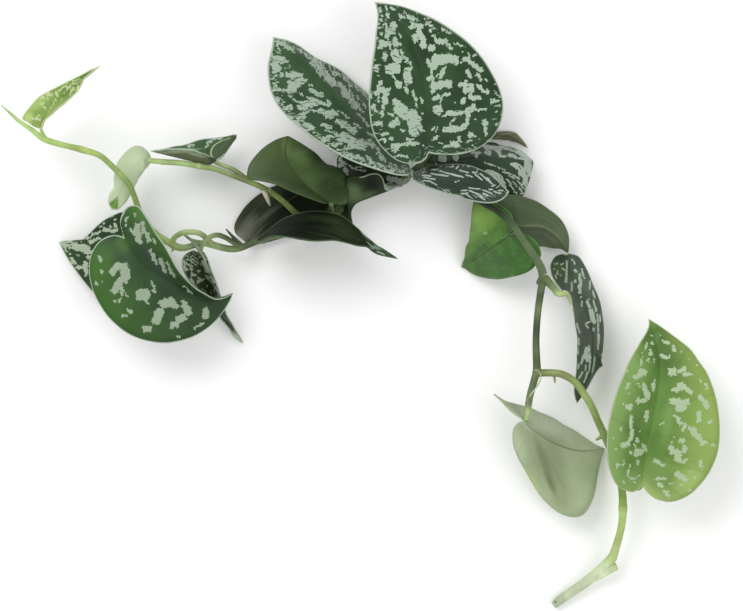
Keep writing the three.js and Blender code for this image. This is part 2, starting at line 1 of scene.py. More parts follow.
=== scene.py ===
# Satin pothos, a cut and branched vine laid down: leaves, stems, floor, light and camera
import math
import bpy
import numpy as np
from statistics import NormalDist
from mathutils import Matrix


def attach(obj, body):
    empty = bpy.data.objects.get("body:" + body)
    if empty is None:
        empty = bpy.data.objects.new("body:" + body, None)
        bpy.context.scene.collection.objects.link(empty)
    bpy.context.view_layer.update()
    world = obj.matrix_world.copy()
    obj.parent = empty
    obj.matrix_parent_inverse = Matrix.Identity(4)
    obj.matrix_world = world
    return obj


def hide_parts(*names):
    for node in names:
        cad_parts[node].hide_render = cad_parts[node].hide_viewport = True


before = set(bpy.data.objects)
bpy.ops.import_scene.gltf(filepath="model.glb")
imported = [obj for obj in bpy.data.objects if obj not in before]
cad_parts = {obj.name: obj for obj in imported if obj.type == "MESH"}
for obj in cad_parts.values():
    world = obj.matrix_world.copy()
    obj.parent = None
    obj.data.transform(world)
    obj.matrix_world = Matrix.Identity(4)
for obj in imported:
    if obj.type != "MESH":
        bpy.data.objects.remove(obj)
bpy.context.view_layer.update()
print("frame loaded:", len(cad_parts), "nodes")

mm = 0.001
# all places below are in mm; this one, the middle of the plant's box at its foot, is the origin
middle = np.array([-6.62, -0.56, 1.65])


def linear(rgb):
    # 0-255 screen colour to the linear colour a shader takes, by the sRGB curve
    parts = [(v / 255 / 12.92) if v < 10.3 else ((v / 255 + 0.055) / 1.055) ** 2.4 for v in rgb]
    return (*parts, 1.0)


def deselectAll():
    if bpy.context.object and bpy.context.object.mode != "OBJECT":
        bpy.ops.object.mode_set(mode="OBJECT")
    bpy.ops.object.select_all(action="DESELECT")


def spline(points, share, drawnOn):
    # Catmull-Rom through the points; drawnOn carries the end spans straight on
    p = np.array(points, float)
    first = 2 * p[0] - p[1] if drawnOn else p[0]
    last = 2 * p[-1] - p[-2] if drawnOn else p[-1]
    q = np.vstack([first, p, last])
    place = np.clip(share, 0, 1) * (len(p) - 1)
    i = np.minimum(place.astype(int), len(p) - 2)
    w = (place - i)[..., None]
    a, b, c, d = q[i], q[i + 1], q[i + 2], q[i + 3]
    v0, v1 = (c - a) / 2, (d - b) / 2
    return (2 * b - 2 * c + v0 + v1) * w ** 3 + (3 * c - 3 * b - 2 * v0 - v1) * w ** 2 + v0 * w + b


def alongTable(table, shares, at):
    # the rows of a table between its shares, column by column
    return np.stack([np.interp(at, shares, table[:, k]) for k in range(table.shape[1])], -1)


def spread(values, share):
    # a list spread evenly over the share 0 to 1, with no kinks
    values = np.array(values, float).reshape(len(values), -1)
    if len(values) == 1:
        values = np.vstack([values, values])
    return np.squeeze(spline(values, share, True))


def unit(v):
    return v / np.maximum(np.linalg.norm(v, axis=-1, keepdims=True), 1e-12)


def runAlong(line):
    # distance from the line's start to each of its points
    return np.concatenate([[0], np.cumsum(np.linalg.norm(np.diff(line, axis=0), axis=1))])


def setFloats(mesh, name, values):
    mesh.attributes.new(name, "FLOAT", "POINT").data.foreach_set("value", values.astype(np.float32))


def getPlaces(mesh):
    places = np.zeros(len(mesh.vertices) * 3)
    mesh.vertices.foreach_get("co", places)
    return places.reshape(-1, 3)


# leaf blades: midrib from base to tip; face: the way the silver side looks, along the midrib;
# halfWidth in mm; lobe: how far it reaches back behind the base; skew: how far the margin is
# pushed to the tip; taper: how much narrower the tip half is; fold: how far a half is folded up
# at the midrib, and curl: how far it curls up by its margin, in degrees. Pairs are (left, right)
# seen on the silver side with the tip ahead. left and right are the margins as they lie seen
# from above, without base and tip
leafDefaults = dict(skew=(0, 0), taper=(0, 0), curl=(0, 0))
leaves = dict(
    leaf_crown_front=dict(
        midrib=[(31.1, 82.6, 47), (30, 107.3, 52), (25.7, 129.4, 52), (16.5, 151.9, 47), (1.9, 164.8, 38)],
        face=[(0, 0.15, 1), (0.1, 0.3, 1)], halfWidth=(35, 42), lobe=(0.8, 0.1), taper=(0, 0.8),
        fold=[[25], [-5]], curl=(-10, -15),
        left=[(29.3, 80), (25.2, 78), (19.4, 78), (13.6, 80), (8.4, 84.1), (3.8, 89.3), (0.9, 95.1),
        (-0.8, 102), (-1.4, 110.2), (-1.2, 118.3), (-0.5, 126.3), (0.4, 134.5), (1.6, 142.6), (2.3, 149.5),
        (3, 155.3), (3.2, 161.1)],
        right=[(35, 83.2), (40.3, 82.9), (47.2, 82.9), (54.1, 84.4), (59.9, 87), (65.7, 91.6), (69.7, 97.4),
        (71.7, 103.2), (72.4, 110.2), (71.5, 115.9), (69.2, 122.3), (65.1, 129.8), (59.9, 137.3),
        (53, 144.9), (44.9, 151.2), (35.6, 157), (26.3, 161.1), (17.1, 164.3), (9, 166)]),
    leaf_crown_left=dict(
        midrib=[(20.9, 74.2, 33), (-2.4, 95.9, 37), (-17.1, 111.6, 38), (-28.5, 124.2, 36),
        (-41.1, 136.3, 32), (-53.7, 146.4, 26)],
        face=[(0.7, 0.7, 0.2), (0.6, 0.6, 0.5), (0.4, 0.45, 0.8), (0.3, 0.35, 0.85)], halfWidth=(38, 30),
        lobe=(0.2, 0.2), skew=(0.3, 0), taper=(-0.9, 0), fold=[[-12], [30, -14, -30]], curl=(-12, -12),
        left=[(23.1, 73.7), (20.6, 71.9), (14.8, 71.7), (7.8, 73.1), (0.9, 75.4), (-7.2, 78.3),
        (-15.3, 81.8), (-23.4, 86.4), (-31.5, 91.6), (-39.6, 98), (-46.6, 104.3), (-51.8, 110.2),
        (-55.3, 117.1), (-56.8, 124.6), (-57, 132.2), (-55.8, 137.9), (-54.7, 142.6)],
        right=[(17.9, 82.2), (13.5, 91), (9.1, 100.9), (4.1, 110.3), (-1.4, 115.9), (-8.4, 121.7),
        (-15.3, 127.5), (-22.3, 132.2), (-29.2, 135.6), (-35, 139.1), (-40.8, 143.2), (-46.6, 145.8),
        (-51.2, 146.9)]),
    leaf_crown_right=dict(
        midrib=[(35.1, 77.1, 28), (53.6, 80.3, 31), (69.9, 80.3, 31), (83.7, 78.8, 26), (88.4, 78, 15),
        (87.5, 75.5, 6)],
        face=[(0.1, 0.35, 0.95), (0.9, 0.2, 0.5)], halfWidth=(30, 29), lobe=(0.6, 0.6), taper=(0, -0.3),
        fold=[[-40], [-40]], curl=(-10, -10),
        left=[(37.7, 84.4), (45.9, 87.5), (54.2, 89.1), (65.1, 89.3), (71.5, 88.2), (78.4, 86.4),
        (84.2, 83.5), (88.6, 79.1)],
        right=[(39.9, 72.3), (48.7, 67.9), (59.7, 64.6), (70.7, 61.9), (78.9, 59.4), (83.3, 60.5),
        (86.1, 66.8), (87.7, 72.9)]),
    leaf_crown_low=dict(
        midrib=[(21.9, 70.1, 46), (37, 67.3, 50), (53.3, 64.1, 51), (65.7, 61.4, 49), (74.5, 61.5, 46)],
        face=[(0.1, 0.85, 0.5)], halfWidth=(19, 14), lobe=(0.2, 0.2), skew=(0, 0.2), taper=(0, -0.2),
        fold=[[-5], [-5]], curl=(-10, -10),
        left=[(21.9, 72.1), (26.3, 74.2), (32.2, 76.2), (38, 77.3), (44.9, 77.5), (51.8, 77.2),
        (58.7, 75.4), (64.6, 72.5), (69.7, 68.5), (73.2, 65)],
        right=[(22.8, 69.3), (26.3, 67.3), (32.2, 64.7), (39.1, 62.5), (46, 60.4), (53, 58.3), (59.9, 56.7),
        (65.7, 56.3), (70.3, 57.5), (73.8, 59.8)]),
    leaf_crown_back=dict(
        midrib=[(61.8, 92.6, 4), (68.4, 93.6, 4), (75, 93.1, 4), (81.6, 89.8, 4), (86, 86.5, 4)],
        face=[(0, 0, -1)], halfWidth=(5, 5), lobe=(0.5, 0.5), fold=[[15], [15]],
        left=[(65.2, 91.3), (69.6, 91.6), (75, 91), (79.5, 89.9), (82.8, 88.6)],
        right=[(65.2, 94.3), (69.6, 95.2), (73.8, 95.7), (77.3, 95.4), (80, 94.3), (83.1, 91)]),
    leaf_crown_hidden=dict(
        midrib=[(12.9, 77, 12), (0.3, 96.3, 7), (-11.8, 114, 4), (-19.5, 126.1, 3), (-25.6, 132.2, 2)],
        face=[(0, 0, 1)], halfWidth=(16, 8), lobe=(0.6, 0.6), taper=(0, -0.6), fold=[[0], [0]]),
    leaf_crown_under=dict(
        midrib=[(15.6, 65.8, 22), (7.9, 62.5, 23), (-0.8, 59.3, 21), (-8.5, 56, 20), (-11.5, 51.1, 18),
        (-10.1, 42.9, 17)],
        face=[(-0.3, 0.95, 0.1)], halfWidth=(19, 27), lobe=(0.3, 0.3), fold=[[40], [65]],
        left=[(11.8, 64.1), (8, 63.3), (7, 66.3), (5.8, 70), (3.4, 72.3), (-0.6, 72.3), (-5.3, 71),
        (-10, 70.3), (-13.5, 69.6), (-14, 63.5), (-12.9, 55.3)],
        right=[(19, 66.8), (21.7, 69.9), (20.1, 74.5), (12.9, 80), (-0.8, 85.5), (-12.9, 85), (-18.6, 82),
        (-19, 77.3), (-19, 69), (-19, 59.1), (-21.7, 54.2), (-21.2, 48.7), (-16.2, 44.8)]),
    leaf_left_inner=dict(
        midrib=[(-23.7, 55.7, 34), (-34, 63.3, 35), (-42.7, 72.7, 31), (-47.2, 82.1, 24),
        (-45.7, 92.7, 16)],
        face=[(0, -0.1, -1)], halfWidth=(27, 29), lobe=(0, 0), taper=(-0.7, -0.2),
        fold=[[10], [-85, -68, -30, 0]],
        left=[(-20.6, 55.6), (-13.9, 55.9), (-12.7, 59.3), (-12.4, 65.9), (-13.3, 70.6), (-16.6, 74.6),
        (-20.6, 76.3), (-23.9, 77.3), (-27.3, 80.3), (-31.2, 83.9), (-35.9, 87.3), (-40.6, 90.3)],
        right=[(-27.3, 56.6), (-33.9, 59.3), (-43.2, 62.6), (-52.6, 66.3), (-62.6, 69), (-67.9, 70),
        (-68.4, 73.3), (-67.3, 77.3), (-64.6, 81.3), (-60.6, 85.6), (-55.9, 89.3), (-51.3, 91.6)]),
    leaf_left_back=dict(
        midrib=[(-68.3, 34.3, 8), (-60, 45.8, 9), (-47.4, 56.2, 8), (-32.7, 65.6, 5)],
        face=[(0, 0, -1)], halfWidth=(9, 15), lobe=(0.1, 0.1), fold=[[20], [20]],
        left=[(-63.5, 33.8), (-56.9, 34.9), (-47.6, 37.7), (-38.2, 42.1), (-28.3, 47), (-22.3, 53.1),
        (-23.4, 59.7)],
        right=[(-71.9, 37.3), (-74.6, 39.6), (-75.4, 42.6), (-74.6, 46), (-72.6, 49.6), (-69.6, 54),
        (-65.2, 58.6), (-60.6, 61.9), (-55.9, 64.6), (-50.3, 66.6), (-42.1, 68.2)]),
    leaf_left_front=dict(
        midrib=[(-61.7, 36.1, 36), (-47, 47, 38), (-32.3, 50.8, 39), (-18.2, 49.1, 38), (-9, 42.7, 36),
        (0.8, 34, 34), (7.9, 29.6, 33), (14.4, 25.3, 33)],
        face=[(0, -0.95, -0.3), (0, -0.95, -0.3), (0, -0.95, -0.3), (0, -0.9, -0.2), (0.3, 0.1, 0.9)],
        halfWidth=(28, 22), lobe=(0.1, 0.1), taper=(1, 1), fold=[[-10, 5, 20, 30, 40], [30]],
        left=[(-63, 34.8), (-60.2, 36), (-56.6, 37.6), (-51.9, 38.3), (-45.3, 37.3), (-40.6, 36.3),
        (-33.9, 35.6), (-27.3, 35.6), (-20.6, 35.6), (-13.9, 34.3), (-7.3, 32.6), (-1.9, 32.1), (2.1, 29),
        (6.1, 27.3), (10.7, 26.3)]),
    leaf_fold=dict(
        midrib=[(-84.2, 79.3, 26), (-89.7, 77.1, 27), (-98.9, 79.3, 28), (-109.7, 81.9, 30),
        (-120, 84.1, 32)],
        face=[(0.1, 0.98, -0.1)], halfWidth=(13, 15), lobe=(0.8, 4.5), fold=[[20], [80, 30, 25]],
        left=[(-86.6, 79.8), (-88.6, 81.6), (-93.8, 84.2), (-103.3, 86.2), (-112.8, 85.9)],
        right=[(-82.8, 80.3), (-79.2, 85), (-76.5, 89), (-74.1, 94), (-80, 93.1), (-87.2, 92.2),
        (-92.8, 91.6), (-99.1, 89.5), (-105.4, 87.9), (-112.8, 86.4)]),
    leaf_left_young=dict(
        midrib=[(-120.1, 79.2, 30), (-124.8, 79.7, 34), (-130.8, 73.7, 34), (-136.4, 62.9, 29),
        (-141.6, 52.1, 24)],
        face=[(0, 0, -1)], halfWidth=(8, 8), lobe=(0.5, 0.5), taper=(-0.6, -0.6), fold=[[5], [5]],
        curl=(45, 45),
        left=[(-122.9, 84.4), (-126.2, 86.9), (-130.7, 87.4), (-135.9, 83.7), (-139.6, 78.4),
        (-141.2, 72.1), (-141.7, 65.2), (-144, 60.8), (-144.7, 56.4)],
        right=[(-121.6, 78.4), (-123.5, 76.2), (-125.4, 74.2), (-128.6, 69), (-131.7, 62.6), (-134.9, 57.4),
        (-138.9, 53.1)]),
    leaf_tip_left=dict(
        midrib=[(-179.4, 95.8, 39), (-176, 103.9, 42), (-167.2, 113, 44), (-156.3, 122.7, 44),
        (-147.2, 129.9, 42)],
        face=[(-0.12, -0.3, 0.95), (-0.25, -0.3, 0.9)], halfWidth=(10, 8), lobe=(1.2, 0.6), taper=(1.2, 0),
        fold=[[10], [60]],
        left=[(-185.4, 98.5), (-188.5, 100.5), (-191.9, 102.6), (-191.2, 105.3), (-187.5, 110),
        (-183.8, 114.2), (-179.1, 117.2), (-171.7, 121.1), (-164.3, 124.7), (-158, 127.9), (-152.8, 130.5)],
        right=[(-180.5, 100.8), (-177, 104.5), (-172.4, 108.6), (-167.9, 111.8), (-165.1, 114.5),
        (-161.9, 117.7), (-159.7, 120.9), (-157.4, 125), (-154.6, 128.2)]),
    leaf_low_left=dict(
        midrib=[(-134.1, 36.6, 44), (-129.2, 27.3, 46), (-122.1, 20.3, 46), (-109.2, 12.2, 44),
        (-94.2, 4.6, 40), (-82.3, 4.1, 36), (-75.3, 6.8, 34)],
        face=[(0, 0, 1)], halfWidth=(31, 33), lobe=(2.4, 0.7), skew=(0, 0.1), taper=(0, -0.5),
        fold=[[25, 42, 45, 42], [0]], curl=(50, -10),
        left=[(-137, 40.6), (-138.1, 44.8), (-137.7, 49), (-135.4, 53.2), (-131.7, 55), (-128, 54.2),
        (-124.9, 50.1), (-120.2, 42.7), (-115.4, 35.3), (-110.7, 26.9), (-105.4, 18.5), (-99.1, 11.6),
        (-92.8, 6.9), (-87.5, 4), (-82.3, 3.7), (-78, 5.6)],
        right=[(-138.5, 38.4), (-142.2, 38.7), (-146.5, 37.4), (-150.2, 34.8), (-153.1, 30.6),
        (-154.9, 25.3), (-155.3, 19.5), (-154.7, 13.2), (-152.8, 6.9), (-149.6, 0.6), (-145.4, -5.7),
        (-140.1, -11), (-134.4, -15.2), (-127.5, -18.4), (-120.1, -20.2), (-112.8, -20.7), (-105.4, -19.6),
        (-98.1, -17.3), (-91.7, -13.6), (-86.5, -9.4), (-82.3, -4.7), (-79.1, 0.1), (-77, 4.2)]),
    leaf_low_left_back=dict(
        midrib=[(-126.6, 32.5, 18), (-140.4, 34.8, 15), (-157, 35.9, 10), (-171.7, 34.9, 3)],
        face=[(0, 0, 1)], halfWidth=(34, 19), lobe=(0.8, 0.8), taper=(-0.3, 1.9), fold=[[0], [0]],
        left=[(-124.6, 23.9), (-127.3, 14), (-135.6, 5.8), (-144.9, 3.6), (-152.6, 7.2), (-157, 11.8),
        (-161.2, 17.3), (-165.4, 23.4), (-169.1, 29.4)],
        right=[(-124, 37.1), (-124, 44.3), (-128.4, 50.1), (-135.9, 51.6), (-141.2, 50.1), (-146.5, 47.4),
        (-151.7, 43.2), (-157, 38), (-161.2, 35.3), (-166.4, 34.5)]),
    leaf_low_small=dict(
        midrib=[(-95.3, 29.2, 22), (-93, 20.5, 24), (-87.7, 9, 20), (-80.3, -4.7, 11), (-70.6, -20.6, 3)],
        face=[(0, 0, 1)], halfWidth=(14, 15), lobe=(0.8, 0.3), taper=(1.2, 1.6), fold=[[75], [35]],
        left=[(-92.7, 29.4), (-90.7, 26.9), (-88.6, 21.6), (-85.4, 13.2), (-83.3, 5.8), (-81.2, -1),
        (-78, -7.9), (-73.9, -15.2)],
        right=[(-98.1, 30.6), (-102.2, 28.5), (-104.2, 24.8), (-103.8, 19.5), (-100.7, 14.2), (-96, 9.5),
        (-91.6, 4.7), (-87.7, -0.3), (-83.3, -6.8), (-79.1, -12), (-74.5, -18.4)]),
    leaf_right_lit=dict(
        midrib=[(75.4, 38.4, 31), (68.4, 33.5, 29), (59.3, 27.1, 17), (49.2, 21.2, 3)],
        face=[(0, 0, -1)], halfWidth=(25, 23), lobe=(3, 4.5), skew=(0, -0.2), taper=(1.4, 0),
        fold=[[0], [10]],
        left=[(77.3, 42.6), (77.3, 49.8), (70.7, 55.3), (63, 57.8), (56.9, 57.8), (55.8, 55.3),
        (55.2, 47.8), (54.2, 41.4), (53.9, 36), (52, 32.2), (51.2, 26.7)],
        right=[(77.3, 38.8), (82.3, 39.9), (88.7, 36.9), (91.9, 32.9), (93.3, 28.7), (92.4, 25.5),
        (88.8, 20.4), (84.4, 17.8), (78, 15.9), (70.6, 14.6), (63.2, 15), (56.8, 16.9), (51.5, 20.4)]),
    leaf_right_olive=dict(
        midrib=[(73.4, 46.1, 24.5), (81, 43.4, 25.5), (93.6, 42.9, 22.5), (102.5, 36.9, 17.5),
        (107.6, 28.8, 12)],
        face=[(0, 0.2, -1)], halfWidth=(28, 15), lobe=(1.4, 1.2), fold=[[50, 30], [25]],
        left=[(73.4, 42.6), (75.1, 37.1), (80.6, 33.8), (87.2, 32.7), (91.9, 32.7), (99.3, 31.8),
        (104.6, 31)],
        right=[(69.6, 51.4), (69, 56.4), (72.9, 60.8), (80.2, 60.5), (85.5, 59.2), (90.8, 57.3),
        (96.1, 54.1), (101.4, 49.9), (105.2, 45.7), (107.8, 40.3), (108.7, 35)]),
    leaf_right_hanging=dict(
        midrib=[(106.1, 27.8, 25), (109.7, 16.6, 31), (115, 4.1, 35), (119.3, -10.6, 36),
        (120.4, -21.5, 35), (119.6, -35.1, 29), (115.5, -46.1, 22), (112.4, -53.3, 16)],
        face=[(-0.14, 0, 1)], halfWidth=(17, 22), lobe=(0.8, 0.8),
        fold=[[-50, -65, -80, -80], [-45, -60, -52, -35]], curl=(-10, -20),
        left=[(110.3, 28.3), (113.6, 26.7), (116.3, 23.3), (120.1, 15.9), (123.3, 7.4), (125.9, -0.1),
        (127.5, -8.6), (127.8, -16), (127.2, -23.4), (126.2, -29.4), (125.8, -31.6), (127.4, -32.9),
        (125.3, -34.2), (122.7, -38.3), (119.5, -43.6), (116.3, -49)],
        right=[(104.8, 28.5), (101.5, 27.1), (98.8, 23.3), (98.6, 20.1), (99.8, 15.9), (102.5, 11.7),
        (106.8, 6.3), (109.9, 1), (112.1, -9.6), (113.4, -16), (113.1, -26.6), (112.6, -37.2),
        (111.5, -45.8), (111.8, -50)]),
    leaf_right_pale=dict(
        midrib=[(83.2, -63.2, 42), (89.8, -69.2, 40), (100.4, -75.4, 32), (114, -79.5, 18),
        (128.3, -78.8, 3)],
        face=[(0, 0.1, -1), (0, -0.3, -1)], halfWidth=(38, 26), lobe=(0.3, 4.5), skew=(0.6, 0),
        taper=(0.5, 0), fold=[[50, 20, 0], [75, 50, 20]],
        left=[(83.8, -63.9), (81.3, -64.1), (78.6, -66.9), (77.7, -71.5), (78.1, -77), (80.4, -83.5),
        (84.1, -89.9), (88.3, -97.3), (92.9, -104.7), (98, -110.2), (103.5, -114.4), (108.6, -116.2),
        (113.2, -116.5), (117.3, -114.4), (120.6, -109.3), (122.9, -102.9), (124.2, -94.5), (125.6, -87.2),
        (127, -82.6)],
        right=[(81.8, -62.2), (78.1, -59.5), (73.5, -55.3), (70.3, -51.6), (67, -48.4), (73.5, -52.6),
        (80, -54.7), (87.3, -56.7), (94.7, -59.7), (102.1, -63.4), (109.5, -67.8), (115.9, -71.9),
        (122.4, -76.1)]),
    leaf_end=dict(
        midrib=[(147, -98.1, 36), (149, -80, 40), (153.2, -60.5, 42), (156.7, -36.1, 38),
        (154.7, -19.8, 34), (151.2, -7.4, 28)],
        face=[(0, 0.1, 1), (0, 0.2, 1)], halfWidth=(29, 38), lobe=(0.2, 0.9), fold=[[55, 40, 35], [5]],
        curl=(-20, -10),
        left=[(146.9, -101), (143.6, -102.6), (139.9, -101.9), (135.8, -99.6), (132.6, -95), (130.5, -89),
        (129.6, -81.6), (129.6, -74.2), (130.2, -66.9), (131.6, -59.5), (133.5, -52.1), (135.8, -44.7),
        (139, -37.3), (142.3, -29.8), (147.7, -20.2), (150.9, -15), (152.7, -10.7)],
        right=[(150.5, -100.1), (151.9, -102.9), (155.6, -106.1), (160.2, -107.6), (164.8, -108),
        (170.4, -106.5), (175.9, -103.3), (181.4, -97.8), (186.1, -91.3), (189.3, -84.4), (191.1, -77),
        (191.6, -68.7), (191.1, -60.4), (189.8, -52.1), (187.4, -43.8), (184.2, -36.4), (179.6, -30),
        (175.8, -24.5), (169.5, -19.2), (163.1, -14.4), (157.8, -10.7), (154.6, -8.7)]),
)

